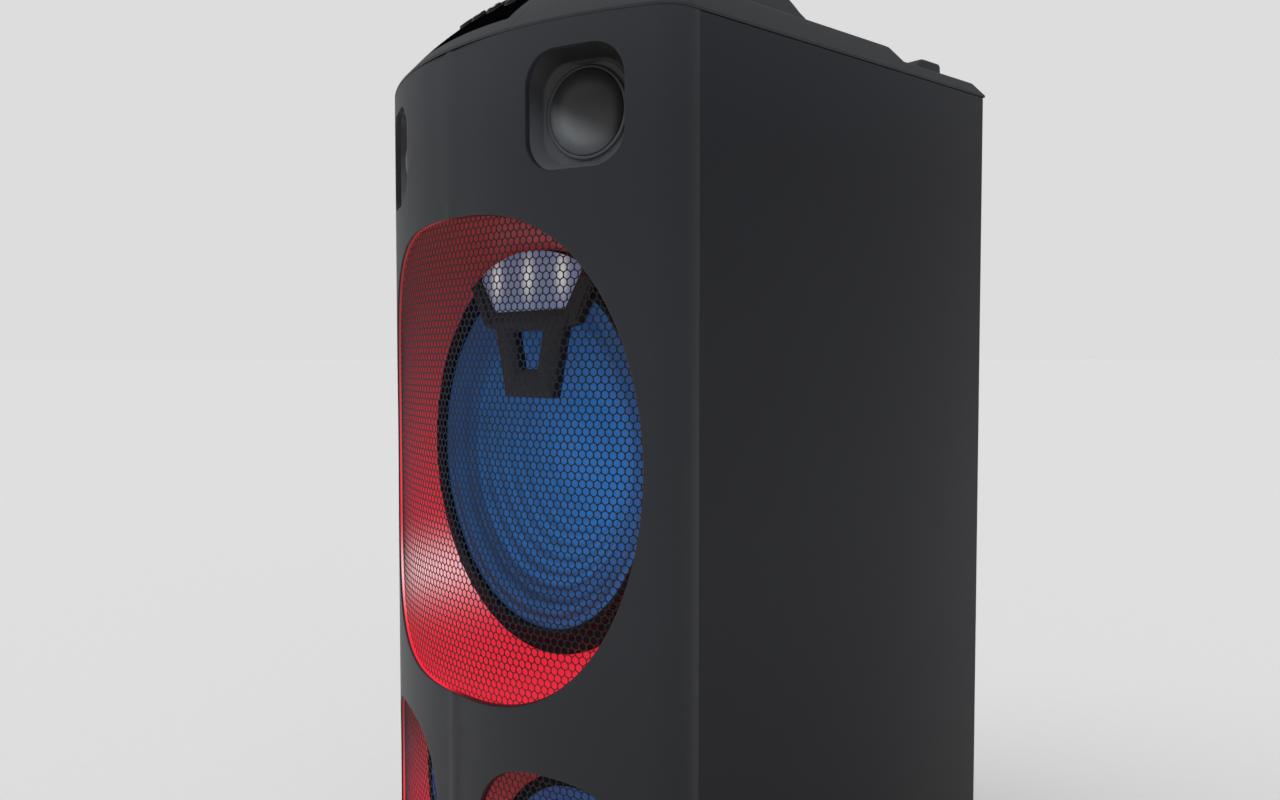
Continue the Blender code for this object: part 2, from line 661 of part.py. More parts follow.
def dish(mats, name, opening, ring, count):
    """A funnel from just behind an opening's edge to the driver's ring.

    ring holds loops of points round the driver, from the outside to the inside.
    """
    front = SHELL_WALL + GAP
    wall = 0.0020
    inner = [on_bow(s, z, front) for s, z in opening_outline(grow=0.0006, count=count, **opening)]
    outer = [on_bow(s, z, front) for s, z in opening_outline(grow=0.0006 + wall, count=count, **opening)]
    add(name, skin([inner, outer] + ring), mats["glow"])


def grilles_and_dishes(mats):
    count = RING_SIDES
    grille(mats, "grille_upper", UPPER_OPENING, 20, count)
    seat = BAFFLE_FRONT_Y - GAP
    rings = [[(x, seat, WOOFER_Z + y) for x, y in circle(r, count)]
             for r in (RING_RADIUS + 0.0023, RING_RADIUS + GAP)]
    dish(mats, "glow_dish_upper", UPPER_OPENING, rings, count)
    for side, word in ((-1, "left"), (1, "right")):
        opening = dict(s=side * MID_S, **LOWER_OPENING)
        grille(mats, f"grille_lower_{word}", opening, 12, LOWER_SIDES)
        centre = Vector(on_bow(side * MID_S, MID_Z, MID_RECESS))
        heading = side * MID_S / BOW_RADIUS
        across = Vector((math.cos(heading), math.sin(heading), 0.0))
        outward = Vector((math.sin(heading), -math.cos(heading), 0.0))
        rings = []
        for r, z in ((0.0629, -0.0056), (0.0560, -0.0056), (0.0560, -0.0034), (0.0608, -0.0034)):
            ring = circle(r, LOWER_SIDES)
            rings.append([centre + across * x + Vector((0, 0, y)) + outward * z for x, y in ring])
        dish(mats, f"glow_dish_lower_{word}", opening, rings, LOWER_SIDES)


# ---- drivers ------------------------------------------------------------------------
def dome_profile(radius, height, top, steps):
    """(radius, z) points of a spherical cap, from near its middle to its edge."""
    ball = (radius**2 + height**2) / (2 * height)
    radii = [0.0008] + [radius * i / steps for i in range(1, steps + 1)]
    return [(r, top - ball + math.sqrt(ball**2 - r**2)) for r in radii]


def roll_profile(outer, inner, sag, thick, steps=3):
    """A half-roll that hangs back between two (radius, z) points, as a closed strip."""
    front, back = [], []
    for i in range(steps + 1):
        t = i / steps
        r = outer[0] + (inner[0] - outer[0]) * t
        z = outer[1] + (inner[1] - outer[1]) * t - sag * math.sin(math.pi * t)
        front.append((r, z))
        back.append((r, z - thick))
    return front, back


def woofer(mats):
    """Trim ring, basket, motor, suspension and cone; local Z = 0 is the ring's plane."""
    seat = axis_empty("woofer_axis", (0.0, RING_Y, WOOFER_Z), 0.0)
    board = RING_Y - BAFFLE_FRONT_Y + GAP  # the baffle's face in local Z, less the gap
    bezel = [(RING_RADIUS, board), (RING_RADIUS, -0.0008), (RING_RADIUS - 0.0008, 0.0),
             (0.1295, 0.0), (0.1272, -0.0012), (0.1272, board)]
    add("woofer_bezel", lathe(bezel, RING_SIDES), mats["trim"], seat)
    basket = [(0.1268, board), (0.1268, -0.0018), (0.1135, -0.0018), (0.1100, -0.0120), (0.0660, -0.0560),
              (0.0620, -0.0585), (0.0400, -0.0585), (0.0400, -0.0610), (0.0645, -0.0610),
              (0.0690, -0.0575), (0.1130, -0.0135), (0.1155, board)]
    frame = add("woofer_basket", lathe(basket, WOOFER_SIDES), mats["steel"], seat)
    windows = []
    for i in range(6):
        turn = i * math.pi / 3
        wedge = [(0.074, -0.017), (0.100, -0.034), (0.100, 0.034), (0.074, 0.017)]
        corners = [(r * math.cos(turn) - w * math.sin(turn), r * math.sin(turn) + w * math.cos(turn))
                   for r, w in wedge]
        windows.append(prism(corners, -0.058, -0.014))
    cut(frame, joined(*windows), parent=seat)
    plate = [(0.0620, -0.0613), (0.0620, -0.0653), (0.0360, -0.0653), (0.0360, -0.0613)]
    add("woofer_top_plate", lathe(plate, WOOFER_SIDES), mats["steel"], seat)
    magnet = [(0.0680, -0.0656), (0.0680, -0.0836), (0.0420, -0.0836), (0.0420, -0.0656)]
    add("woofer_magnet", lathe(magnet, WOOFER_SIDES), mats["ferrite"], seat)
    yoke = [(0.0100, -0.0613), (0.0322, -0.0613), (0.0322, -0.0839), (0.0640, -0.0839),
            (0.0640, -0.0899), (0.0100, -0.0899)]
    add("woofer_yoke", lathe(yoke, WOOFER_SIDES), mats["steel"], seat)
    spider = [(0.0350, -0.0572), (0.0480, -0.0562), (0.0610, -0.0572),
              (0.0610, -0.0582), (0.0480, -0.0572), (0.0350, -0.0582)]
    add("woofer_spider", lathe(spider, WOOFER_SIDES), mats["cloth"], seat)
    coil = [(0.0335, -0.0450), (0.0347, -0.0450), (0.0347, -0.0760), (0.0335, -0.0760)]
    add("woofer_voice_coil", lathe(coil, WOOFER_SIDES), mats["copper"], seat)
    cone_front = [(0.0990, -0.0078), (0.0800, -0.0205), (0.0580, -0.0340), (0.0350, -0.0455)]
    cone_back = [(r, z - 0.0014) for r, z in reversed(cone_front)]
    add("woofer_cone", lathe(cone_front + cone_back, WOOFER_SIDES), mats["cone"], seat)
    cap = dome_profile(0.0385, 0.0135, -0.0290, 3)
    inner = [(r * 0.97, z - 0.0011) for r, z in reversed(cap)]
    add("woofer_dust_cap", lathe(cap + inner, WOOFER_SIDES, "caps"), mats["cone"], seat)
    front, back = roll_profile((0.1120, -0.0004), (0.1000, -0.0062), 0.0060, 0.0010)
    lip = [(0.0955, -0.0086), (0.0955, -0.0096)]
    strip = [(0.1262, -0.0004)] + front + lip + back[::-1] + [(0.1262, -0.0014)]
    add("woofer_surround", lathe(strip, WOOFER_SIDES), mats["rubber"], seat)


LENS_BOTTOM, LENS_SIDE = (0.0424, 0.0991), (0.0606, 0.1233)
STROBE_TOP = 0.1405


def lens_outline(shrink):
    """The light's flat bottom, flared sides and round top, in the ring's plane."""
    bottom = (LENS_BOTTOM[0] - shrink, LENS_BOTTOM[1] + shrink)
    side = (LENS_SIDE[0] - shrink, LENS_SIDE[1])
    top = STROBE_TOP - shrink
    start = math.acos(side[0] / top)
    arc = [(top * math.cos(a), top * math.sin(a)) for a in spread(start, math.pi - start, 12)]
    has_corner = side[1] < arc[0][1] - 0.001
    right = [bottom, side] if has_corner else [bottom]
    return right + arc + [(-x, y) for x, y in reversed(right)]


def strobe(mats):
    """A light over the top of the woofer: lens, board with three lamps, and bracket."""
    seat = axis_empty("strobe_axis", (0.0, RING_Y, WOOFER_Z), 0.0)
    add("strobe_lens", prism(lens_outline(0.0), 0.0042, 0.0066), mats["lens"], seat)
    board = add("strobe_board", prism(lens_outline(0.002), 0.0003, 0.0019), mats["circuit"], seat)
    lamps = [prism(circle(0.0055, SMALL_SIDES, x, 0.1210), 0.0012, 0.0036) for x in (-0.0394, 0.0, 0.0394)]
    cut(board, joined(*lamps), "UNION", parent=seat)
    low, edge = 0.0003, 0.0004
    right = [(0.0288, 0.0385), (0.0412, 0.0864), (0.0561, 0.0885), (0.0752, 0.1182),
             (LENS_SIDE[0] + edge, 0.1266), (LENS_SIDE[0] + edge, LENS_SIDE[1] - edge),
             (LENS_BOTTOM[0] + edge, LENS_BOTTOM[1] - edge)]
    outline = right + [(-x, y) for x, y in reversed(right)]
    bracket = add("strobe_bracket", prism(outline, low, 0.0070), mats["trim"], seat)
    window = [(0.0109, 0.0582), (0.0176, 0.0854), (-0.0176, 0.0854), (-0.0109, 0.0582)]
    cut(bracket, prism(window, -0.01, 0.02), parent=seat)


def mid_driver(mats, word, side):
    """Mid driver; local Z = 0 is the front of its ring."""
    heading = side * MID_S / BOW_RADIUS
    seat = axis_empty(f"mid_axis_{word}", on_bow(side * MID_S, MID_Z, MID_RECESS), heading)
    basket = [(0.0603, -0.0031), (0.0603, -0.0006), (0.0597, 0.0), (0.0545, 0.0), (0.0530, -0.0012),
              (0.0530, -0.0030), (0.0494, -0.0030), (0.0475, -0.0085), (0.0300, -0.0250), (0.0300, -0.0300),
              (0.0158, -0.0300), (0.0158, -0.0320), (0.0318, -0.0320), (0.0318, -0.0258), (0.0495, -0.0090),
              (0.0552, -0.0052), (0.0552, -0.0031)]
    add(f"mid_basket_{word}", lathe(basket, MID_SIDES), mats["trim"], seat)
    motor = [(0.0010, -0.0323), (0.0125, -0.0323), (0.0125, -0.0445), (0.0156, -0.0445), (0.0156, -0.0323),
             (0.0300, -0.0323), (0.0300, -0.0485), (0.0010, -0.0485)]
    add(f"mid_magnet_{word}", lathe(motor, MID_SIDES, "caps"), mats["ferrite"], seat)
    cap = dome_profile(0.0140, 0.0055, -0.0065, 2)
    under = [(r * 0.93, z - 0.0012) for r, z in reversed(cap)]
    cone = cap + [(0.0410, -0.0052), (0.0410, -0.0064), (0.0148, -0.0136), (0.0148, -0.0400), (0.0134, -0.0400)]
    add(f"mid_cone_{word}", lathe(cone + under, MID_SIDES, "caps"), mats["cone"], seat)
    front, back = roll_profile((0.0485, -0.0017), (0.0420, -0.0040), 0.0030, 0.0008, 3)
    strip = [(0.0526, -0.0017)] + front + [(0.0395, -0.0045), (0.0395, -0.0053)] + back[::-1] + [(0.0526, -0.0026)]
    add(f"mid_surround_{word}", lathe(strip, MID_SIDES), mats["rubber"], seat)


def tweeter(mats, word, side):
    """Pocket, motor with its face ring, and a large dome; local Z = 0 is the ring's plane."""
    count = 28
    heading = side * TWEETER_S / BOW_RADIUS
    at = Vector(on_bow(side * TWEETER_S, TWEETER_Z, TWEETER_RECESS))
    seat = axis_empty(f"tweeter_axis_{word}", at, heading)
    across = Vector((math.cos(heading), math.sin(heading), 0.0))
    outward = Vector((math.sin(heading), -math.cos(heading), 0.0))

    def edge(grow):
        points = rounded_rectangle(POCKET_W + grow, POCKET_H + grow, POCKET_CORNER + grow, count)
        return [on_bow(side * TWEETER_S + u, TWEETER_Z + v, SHELL_WALL + GAP) for u, v in points]

    def flat(points, z):
        return [at + across * u + Vector((0, 0, v)) + outward * z for u, v in points]

    floor = rounded_rectangle(0.0296, 0.0306, 0.0200, count)
    under = rounded_rectangle(0.0318, 0.0328, 0.0220, count)
    hole = circle(0.0262, count)
    loops = [edge(0.0004), edge(0.0024), flat(under, -0.0032), flat(hole, -0.0032), flat(hole, -0.0010),
             flat(floor, -0.0010)]
    add(f"tweeter_cup_{word}", skin(loops), mats["casing"])
    motor = [(0.0010, -0.0040), (0.0190, -0.0040), (0.0190, -0.0100), (0.0238, -0.0100), (0.0238, 0.0002),
             (0.0246, 0.0010), (0.0275, 0.0010), (0.0283, 0.0002), (0.0283, -0.0007), (0.0258, -0.0007),
             (0.0258, -0.0180), (0.0240, -0.0180), (0.0240, -0.0300), (0.0010, -0.0300)]
    add(f"tweeter_motor_{word}", lathe(motor, TWEETER_SIDES, "caps"), mats["trim"], seat)
    dome = dome_profile(0.0232, 0.0108, 0.0112, 3)
    skirt = [(0.0232, -0.0004), (0.0218, -0.0004), (0.0218, -0.0080), (0.0206, -0.0080)]
    under_dome = [(r * 0.885, z - 0.0012) for r, z in reversed(dome)]
    add(f"tweeter_dome_{word}", lathe(dome + skirt + under_dome, TWEETER_SIDES, "caps"), mats["dome"], seat)


def build():
    clear_scene()
    mats = make_materials()
    cabinet_shell(mats)
    front_shell(mats)
    baffle_board(mats)
    rear_panel(mats)
    socket_plate(mats)
    power_inlet(mats)
    port_tube(mats)
    amplifier_board(mats)
    base_plinth(mats)
    feet(mats)
    top_cover(mats)
    handle_cup(mats)
    carry_handle(mats)
    console(mats)
    grilles_and_dishes(mats)
    woofer(mats)
    strobe(mats)
    for side, word in ((-1, "left"), (1, "right")):
        mid_driver(mats, word, side)
        tweeter(mats, word, side)


build()
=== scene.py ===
import math

import bmesh
import bpy
import numpy as np
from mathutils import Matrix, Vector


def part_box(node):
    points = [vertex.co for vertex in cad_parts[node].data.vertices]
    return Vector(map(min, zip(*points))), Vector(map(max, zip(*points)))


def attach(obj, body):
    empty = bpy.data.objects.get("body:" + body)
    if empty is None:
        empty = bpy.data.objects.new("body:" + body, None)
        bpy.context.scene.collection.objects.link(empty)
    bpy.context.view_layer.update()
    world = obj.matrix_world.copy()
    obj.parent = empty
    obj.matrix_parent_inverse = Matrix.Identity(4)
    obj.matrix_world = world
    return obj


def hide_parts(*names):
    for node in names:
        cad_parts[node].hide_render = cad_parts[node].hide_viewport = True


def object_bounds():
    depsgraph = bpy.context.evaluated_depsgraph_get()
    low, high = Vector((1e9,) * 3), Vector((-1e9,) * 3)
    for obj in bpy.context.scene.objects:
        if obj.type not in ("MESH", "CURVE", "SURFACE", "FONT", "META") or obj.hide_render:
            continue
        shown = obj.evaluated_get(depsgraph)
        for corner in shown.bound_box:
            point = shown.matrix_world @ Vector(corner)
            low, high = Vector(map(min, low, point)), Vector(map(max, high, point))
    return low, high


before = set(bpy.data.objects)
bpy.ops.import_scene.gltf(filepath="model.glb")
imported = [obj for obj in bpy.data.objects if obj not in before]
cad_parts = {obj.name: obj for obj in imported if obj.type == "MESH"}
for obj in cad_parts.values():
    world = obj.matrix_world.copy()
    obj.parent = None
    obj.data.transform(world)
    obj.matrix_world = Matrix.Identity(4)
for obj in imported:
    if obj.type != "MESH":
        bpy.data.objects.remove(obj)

cad_box = [list(map(float, corner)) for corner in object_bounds()]

# ==== The stage =======================================================================
# The speaker stands on a plain pale floor in front of nothing, and is seen from close by
# at its right front corner, under a very wide overhead light, with faint ones at its sides.
half_w = cad_box[1][0]
back_y = cad_box[1][1]
floor_z = cad_box[0][2]

camera = bpy.data.objects.new("camera", bpy.data.cameras.new("camera"))
bpy.context.collection.objects.link(camera)
camera.data.sensor_width = 36.0
camera.data.lens = 28.687
camera.location = (0.5907, -0.5302, 0.4639)
camera.rotation_euler = (math.pi / 2 - 0.0409, 0.0, 0.8592)
camera.data.clip_start = 0.02
bpy.context.scene.camera = camera
bpy.context.scene.view_settings.view_transform = "Standard"


def soft_sun(name, toward, strength, spread):
    """A very wide soft light from far away, shining along a direction."""
    lamp = bpy.data.lights.new(name, "SUN")
    lamp.energy = strength
    lamp.angle = math.radians(spread)
    made = bpy.data.objects.new(name, lamp)
    bpy.context.collection.objects.link(made)
    aim = np.array(toward, float)
    aim /= np.linalg.norm(aim)
    made.rotation_euler = (math.acos(-aim[2]), 0.0, math.atan2(-aim[0], aim[1]))
    made.visible_glossy = False


soft_sun("overhead_softbox", (0.25, 0.35, -1.0), 1.95, 70)
soft_sun("front_softbox", (0.9, 1.0, -0.45), 0.14, 60)
soft_sun("left_softbox", (1.0, 0.1, -0.35), 0.32, 60)
soft_sun("right_softbox", (-0.95, 0.35, -0.35), 0.14, 40)


class Net:
    """The node tree of one material, with a method that adds any node to it."""

    def __init__(self, name):
        self.material = bpy.data.materials.new(name)
        self.material.use_nodes = True
        self.tree = self.material.node_tree
        self.tree.nodes.clear()
        self.out = self.tree.nodes.new("ShaderNodeOutputMaterial")

    def add(self, kind, settings=None, output=0, **sockets):
        """A node of a type, its settings, then its sockets' values or links; returns an output."""
        node = self.tree.nodes.new("ShaderNode" + kind)
        for key, value in (settings or {}).items():
            setattr(node, key, value)
        for key, value in sockets.items():
            self.put(node, key, value)
        return Value(self, node.outputs[output])

    def put(self, node, key, value):
        if key.startswith("in"):
            socket = node.inputs[int(key[2:])]
        else:
            socket = node.inputs[key.replace("_", " ")]
        if isinstance(value, Value):
            self.tree.links.new(value.socket, socket)
        elif isinstance(value, tuple) and len(value) == 3 and socket.type == "RGBA":
            socket.default_value = (*value, 1.0)
        else:
            socket.default_value = value

    def place(self):
        """The point on the object, in metres, in the frame it is built in."""
        return self.add("TexCoord", output=3)

    def split(self, vector):
        node = self.tree.nodes.new("ShaderNodeSeparateXYZ")
        self.put(node, "in0", vector)
        return [Value(self, one) for one in node.outputs]

    def noise(self, scale, detail=3.0, roughness=0.55, vector=None):
        vector = vector or self.place()
        return self.add("TexNoise", Vector=vector, Scale=scale, Detail=detail, Roughness=roughness)

    def mix(self, factor, low, high):
        """A blend of two colours."""
        return self.add("Mix", {"data_type": "RGBA"}, 2, in0=factor, in6=low, in7=high)

    def bump(self, height, strength, distance):
        return self.add("Bump", Height=height, Strength=strength, Distance=distance)

    def surface(self, **sockets):
        """A Principled shader on the output; Normal, colour and roughness may be links."""
        shader = self.add("BsdfPrincipled", **sockets)
        self.put(self.out, "Surface", shader)
        return self.material

    def seen_along(self, seat):
        """Distances across and up from a seat's centre, and the radius, seen along its axis."""
        away = self.add("VectorMath", {"operation": "SUBTRACT"}, in0=self.place(), in1=tuple(seat["centre"]))
        u, v = (self.add("VectorMath", {"operation": "DOT_PRODUCT"}, 1, in0=away, in1=tuple(seat[way]))
                for way in ("across", "up"))
        return u, v, (u * u + v * v).math("SQRT")


class Value:
    """A number on a socket: + - * / and a few functions add Math nodes."""

    def __init__(self, net, socket):
        self.net = net
        self.socket = socket

    def math(self, operation, *others, clamp=False):
        sockets = {f"in{i}": one for i, one in enumerate((self, *others))}
        return self.net.add("Math", {"operation": operation, "use_clamp": clamp}, **sockets)

    def __add__(self, other):
        return self.math("ADD", other)

    def __sub__(self, other):
        return self.math("SUBTRACT", other)

    def __mul__(self, other):
        return self.math("MULTIPLY", other)

    def __truediv__(self, other):
        return self.math("DIVIDE", other)

    def __rsub__(self, other):
        return (self * -1.0).math("ADD", other)

    __radd__ = __add__
    __rmul__ = __mul__

    def clamp(self):
        return self.math("ADD", 0.0, clamp=True)

    def ramp(self, low, high):
        """0 below low, 1 above high, and smooth between."""
        settings = {"interpolation_type": "SMOOTHSTEP"}
        return self.net.add("MapRange", settings, in0=self, in1=low, in2=high, in3=0.0, in4=1.0)

    def bell(self, middle, width):
        """1 at the middle, falling off as a Gaussian of that width."""
        off = (self - middle) / width
        return (off * off * -0.5).math("EXPONENT")


net = Net("floor_paint")
grain = net.noise(60.0)
paint = net.mix(grain.ramp(0.2, 0.8), (0.790, 0.790, 0.790), (0.800, 0.800, 0.800))
net.surface(Base_Color=paint, Roughness=0.9, Specular_IOR_Level=0.0)
floor_mesh = bpy.data.meshes.new("floor")
reach, level = 400.0, floor_z - 0.0005
floor_mesh.from_pydata([(-reach, -reach, level), (reach, -reach, level), (reach, reach, level),
                        (-reach, reach, level)], [], [(0, 1, 2, 3)])
floor = bpy.data.objects.new("floor", floor_mesh)
bpy.context.collection.objects.link(floor)
floor_mesh.materials.append(net.material)

# The backdrop is seen pale and even.  It lights the speaker from a bright band at the
# horizon that fades to a dim ceiling, so gloss shows the floor and little above it.
world = bpy.data.worlds.new("studio")
bpy.context.scene.world = world
world.use_nodes = True
tree = world.node_tree
seen = tree.nodes.new("ShaderNodeLightPath")
direction = tree.nodes.new("ShaderNodeTexCoord")
parts = tree.nodes.new("ShaderNodeSeparateXYZ")
fade = tree.nodes.new("ShaderNodeMapRange")
fade.interpolation_type = "SMOOTHSTEP"
for socket, value in (("From Min", 0.05), ("From Max", 0.55), ("To Min", 0.50), ("To Max", 0.27)):
    fade.inputs[socket].default_value = value
shade = tree.nodes.new("ShaderNodeMapRange")
shade.inputs["To Max"].default_value = 0.7226
tree.links.new(direction.outputs["Generated"], parts.inputs[0])
tree.links.new(parts.outputs["Z"], fade.inputs["Value"])
tree.links.new(fade.outputs["Result"], shade.inputs["To Min"])
tree.links.new(seen.outputs["Is Camera Ray"], shade.inputs["Value"])
tree.nodes["Background"].inputs["Color"].default_value = (1.0, 1.0, 1.0, 1.0)
tree.links.new(shade.outputs["Result"], tree.nodes["Background"].inputs["Strength"])

# ==== Base: four rubber feet and the plinth ===========================================
# Turned rubber feet pushed into a shallow moulded plinth, which is set in a little from
# the cabinet above it.  The plinth follows the bowed front.
side_depth = 0.303
bow_radius = 0.303
bow_centre_y = bow_radius - back_y
corner_radius = 0.024
corner_x = half_w - corner_radius
corner_y = bow_centre_y - math.sqrt((bow_radius - corner_radius) ** 2 - corner_x**2)
corner_heading = math.asin(corner_x / (bow_radius - corner_radius))
side_front_y = back_y - side_depth
on_arc = bow_radius * corner_heading
on_corner = on_arc + corner_radius * (math.pi / 2 - corner_heading)
seam_run = on_corner + side_front_y - corner_y


def bowed(s, z, depth=0.0):
    """Points of the bowed front: s runs round the bow, its corner and on along the side.

    Up to the corner the point is on a circle about the bow's centre; then on a circle about
    the corner's centre; then on a straight line.  depth moves it in along the normal.
    """
    s, z, depth = np.broadcast_arrays(*(np.asarray(one, float) for one in (s, z, depth)))
    run = np.abs(s)
    heading = np.minimum(run, on_arc) / bow_radius
    x = (bow_radius - depth) * np.sin(heading)
    y = bow_centre_y - (bow_radius - depth) * np.cos(heading)
    turn = corner_heading + (np.clip(run, on_arc, on_corner) - on_arc) / corner_radius
    bend = run > on_arc
    x = np.where(bend, corner_x + (corner_radius - depth) * np.sin(turn), x)
    y = np.where(bend, corner_y - (corner_radius - depth) * np.cos(turn), y)
    y = y + np.maximum(run - on_corner, 0.0)
    return np.stack([np.copysign(x, s), y, z], -1)


def rounded(corners, radius, steps=5, closed=False):
    """A 2-D path with its corners rounded: each is swapped for an arc-like curve.

    The curve starts and ends radius away from the corner (or half the shorter side), and is
    a quadratic through the corner's own pull.
    """
    corners = np.asarray(corners, float)
    radii = np.broadcast_to(radius, len(corners))
    path = []
    for i, here in enumerate(corners):
        if not closed and i in (0, len(corners) - 1):
            path.append(here[None])
            continue
        before, after = corners[i - 1], corners[(i + 1) % len(corners)]
        reach = min(radii[i], 0.499 * np.linalg.norm(before - here), 0.499 * np.linalg.norm(after - here))
        a = here + (before - here) / max(np.linalg.norm(before - here), 1e-12) * reach
        b = here + (after - here) / max(np.linalg.norm(after - here), 1e-12) * reach
        t = np.linspace(0, 1, steps + 1)[:, None]
        path.append((1 - t) ** 2 * a + 2 * t * (1 - t) * here + t**2 * b)
    return np.concatenate(path)


def add_piece(name, grids, material, body="cabinet", slot=None, replaces=(), facing=None, sharp=40):
    """An object from grids of points, each (points, wrap_rows, wrap_columns).

    Each grid becomes quads; it is turned over as a whole if its faces look away from facing,
    or if it is closed and encloses a negative volume.
    """
    points, quads, start = [], [], 0
    for grid, wrap_rows, wrap_columns in grids:
        rows, columns = grid.shape[:2]
        index = np.arange(rows * columns).reshape(rows, columns)
        if wrap_rows:
            index = np.concatenate([index, index[:1]])
        if wrap_columns:
            index = np.concatenate([index, index[:, :1]], 1)
        quad = np.stack([index[:-1, :-1], index[1:, :-1], index[1:, 1:], index[:-1, 1:]], -1).reshape(-1, 4)
        flat = grid.reshape(-1, 3)
        a, b, c, d = (flat[quad[:, i]] for i in range(4))
        normal = np.cross(c - a, d - b)
        if facing is None:
            lean = np.sum(normal * (a + b + c + d))
        else:
            lean = np.sum(normal @ np.asarray(facing, float))
        if lean < 0:
            quad = quad[:, ::-1]
        points.append(flat)
        quads.append(quad + start)
        start += len(flat)
    mesh = bpy.data.meshes.new(name)
    mesh.from_pydata(np.concatenate(points), [], np.concatenate(quads))
    return finish_piece(name, mesh, material, body, slot, replaces, sharp)


def finish_piece(name, mesh, material, body="cabinet", slot=None, replaces=(), sharp=40):
    """Merge seams and poles, shade smooth, give the finish and ride on a body."""
    work = bmesh.new()
    work.from_mesh(mesh)
    bmesh.ops.remove_doubles(work, verts=work.verts, dist=2e-6)
    bmesh.ops.dissolve_degenerate(work, dist=1e-7, edges=work.edges)
    work.to_mesh(mesh)
    work.free()
    mesh.materials.append(material)
    mesh.shade_smooth()
    mesh.set_sharp_from_angle(angle=math.radians(sharp))
    made = bpy.data.objects.new(name, mesh)
    bpy.context.collection.objects.link(made)
    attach(made, body)
    if replaces:
        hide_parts(*replaces)
    return made


def turned(profile, centre=(0, 0, 0), across=(1, 0, 0), up=(0, 1, 0), axis=(0, 0, 1), sides=64):
    """A grid from a (radius, height) profile carried round an axis."""
    profile = np.asarray(profile, float)
    angle = np.arange(sides) * 2 * math.pi / sides
    ring = np.cos(angle)[:, None] * np.array(across, float) + np.sin(angle)[:, None] * np.array(up, float)
    grid = profile[:, None, :1] * ring[None] + profile[:, None, 1:] * np.array(axis, float)
    return grid + np.array(centre, float)


def add_turned(name, profile, seat, material, sides=96, closed=False, **ride):
    """A turned piece: its profile carried round a seat's axis."""
    return add_piece(name, [(turned(profile, sides=sides, **seat), closed, True)], material, **ride)


def dress(node, material):
    """A CAD node that stays gets a finish on its own material slots."""
    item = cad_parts[node]
    item.data.materials.clear()
    item.data.materials.append(material)


net = Net("foot_rubber")
fine = net.noise(900.0)
foot_rubber = net.surface(Base_Color=net.mix(fine.ramp(0.3, 0.7), (0.012, 0.012, 0.013), (0.02, 0.02, 0.021)),
                          Roughness=fine * 0.15 + 0.75, Normal=net.bump(fine, 0.4, 0.0004))
for end in ("front", "rear"):
    for side in ("left", "right"):
        low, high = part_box(f"foot_{end}_{side}")
        seat = dict(centre=((low[0] + high[0]) / 2, (low[1] + high[1]) / 2, 0.0))
        tall = high[2]
        profile = rounded([(0, 0), (0.0060, 0), (0.0068, 0.0008), (0.0100, 0.0008), (0.0105, 0.0),
                           (0.0150, 0.0), (0.0172, tall * 0.6), (0.0172, tall), (0, tall)], 0.0008)
        add_turned(f"foot_pad_{end}_{side}", profile, seat, foot_rubber, 40, slot="rubber",
                   replaces=[f"foot_{end}_{side}"])


def grained_plastic(name, dark, light, roughness, grain_size=2600.0, depth=0.00012, shine=0.25):
    """Moulded plastic with a fine spark-eroded grain and a slow drift of tone.

    The tone is painted darker toward the floor as painted shade, and palest at the top as painted light from above.
    """
    net = Net(name)
    z = net.split(net.place())[2]
    fine = net.noise(grain_size, 2.0)
    broad = net.noise(7.0, 2.0)
    tone = (fine * 0.5 + broad * 0.5).ramp(0.3, 0.7)
    # Darker copies of the colours, used low down: painted shade.
    painted_shade_low = net.mix(tone, tuple(c * 0.35 for c in dark), tuple(c * 0.45 for c in light))
    paint = net.mix(z.ramp(0.02, 0.40), painted_shade_low, net.mix(tone, dark, light))
    # A paler colour at the top of the speaker: painted light from above.
    paint = net.mix(z.ramp(0.58, 0.73), paint, tuple(c * 1.7 for c in light))
    net.surface(Base_Color=paint, Roughness=broad * 0.10 + fine * 0.08 + (roughness - 0.09),
                Specular_IOR_Level=shine, Normal=net.bump(fine, 0.35, depth))
    return net.material


cabinet_plastic = grained_plastic("cabinet_plastic", (0.0150, 0.0158, 0.0205), (0.0190, 0.0200, 0.0250), 0.52,
                                  shine=0.30)
casing_plastic = grained_plastic("casing_plastic", (0.0195, 0.0212, 0.0262), (0.0240, 0.0256, 0.0312), 0.46,
                                 shine=0.32)


def footprint(inset, z, rear_round=0.004):
    """The closed outline of the body seen from above, moved in by inset, at a height."""
    front = bowed(np.linspace(-on_corner, on_corner, 120), 0.0, inset)[:, :2]
    back = rounded([front[-1], (half_w - inset, back_y - inset), (-half_w + inset, back_y - inset), front[0]],
                   [0, rear_round, rear_round, 0])
    edge = np.concatenate([front, back[1:-1]])
    return np.column_stack([edge, np.full(len(edge), z)])


low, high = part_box("base_plinth")
profile = rounded([(0.060, low[2]), (0.006, low[2]), (0.006, high[2]), (0.030, high[2])], 0.0015)
plinth_edge = np.stack([footprint(inset, z) for inset, z in profile])
centre = np.broadcast_to(plinth_edge[0].mean(0), (1, plinth_edge.shape[1], 3))
add_piece("plinth", [(np.concatenate([centre, plinth_edge]), False, True)], cabinet_plastic, slot="cabinet",
          replaces=["base_plinth"])

# ==== Cabinet =========================================================================
# A plain rectangular tube of grained black board with soft rear edges.  The bowed moulding
# closes its front, and the back board is let into its rear.
body_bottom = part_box("cabinet_shell")[0][2]
body_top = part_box("cabinet_shell")[1][2]
hairline = 0.00018
rear_round = 0.004
rear_rim = 0.006


def rectangle_loop(x0, x1, z0, z1, radius, steps=4):
    """A closed rectangle in (x, z) with round corners."""
    return rounded([(x0, z0), (x1, z0), (x1, z1), (x0, z1)], radius, steps, closed=True)


def upright(edge, y):
    """An (x, z) loop stood up at a depth y."""
    return np.column_stack([edge[:, 0], np.full(len(edge), y), edge[:, 1]])


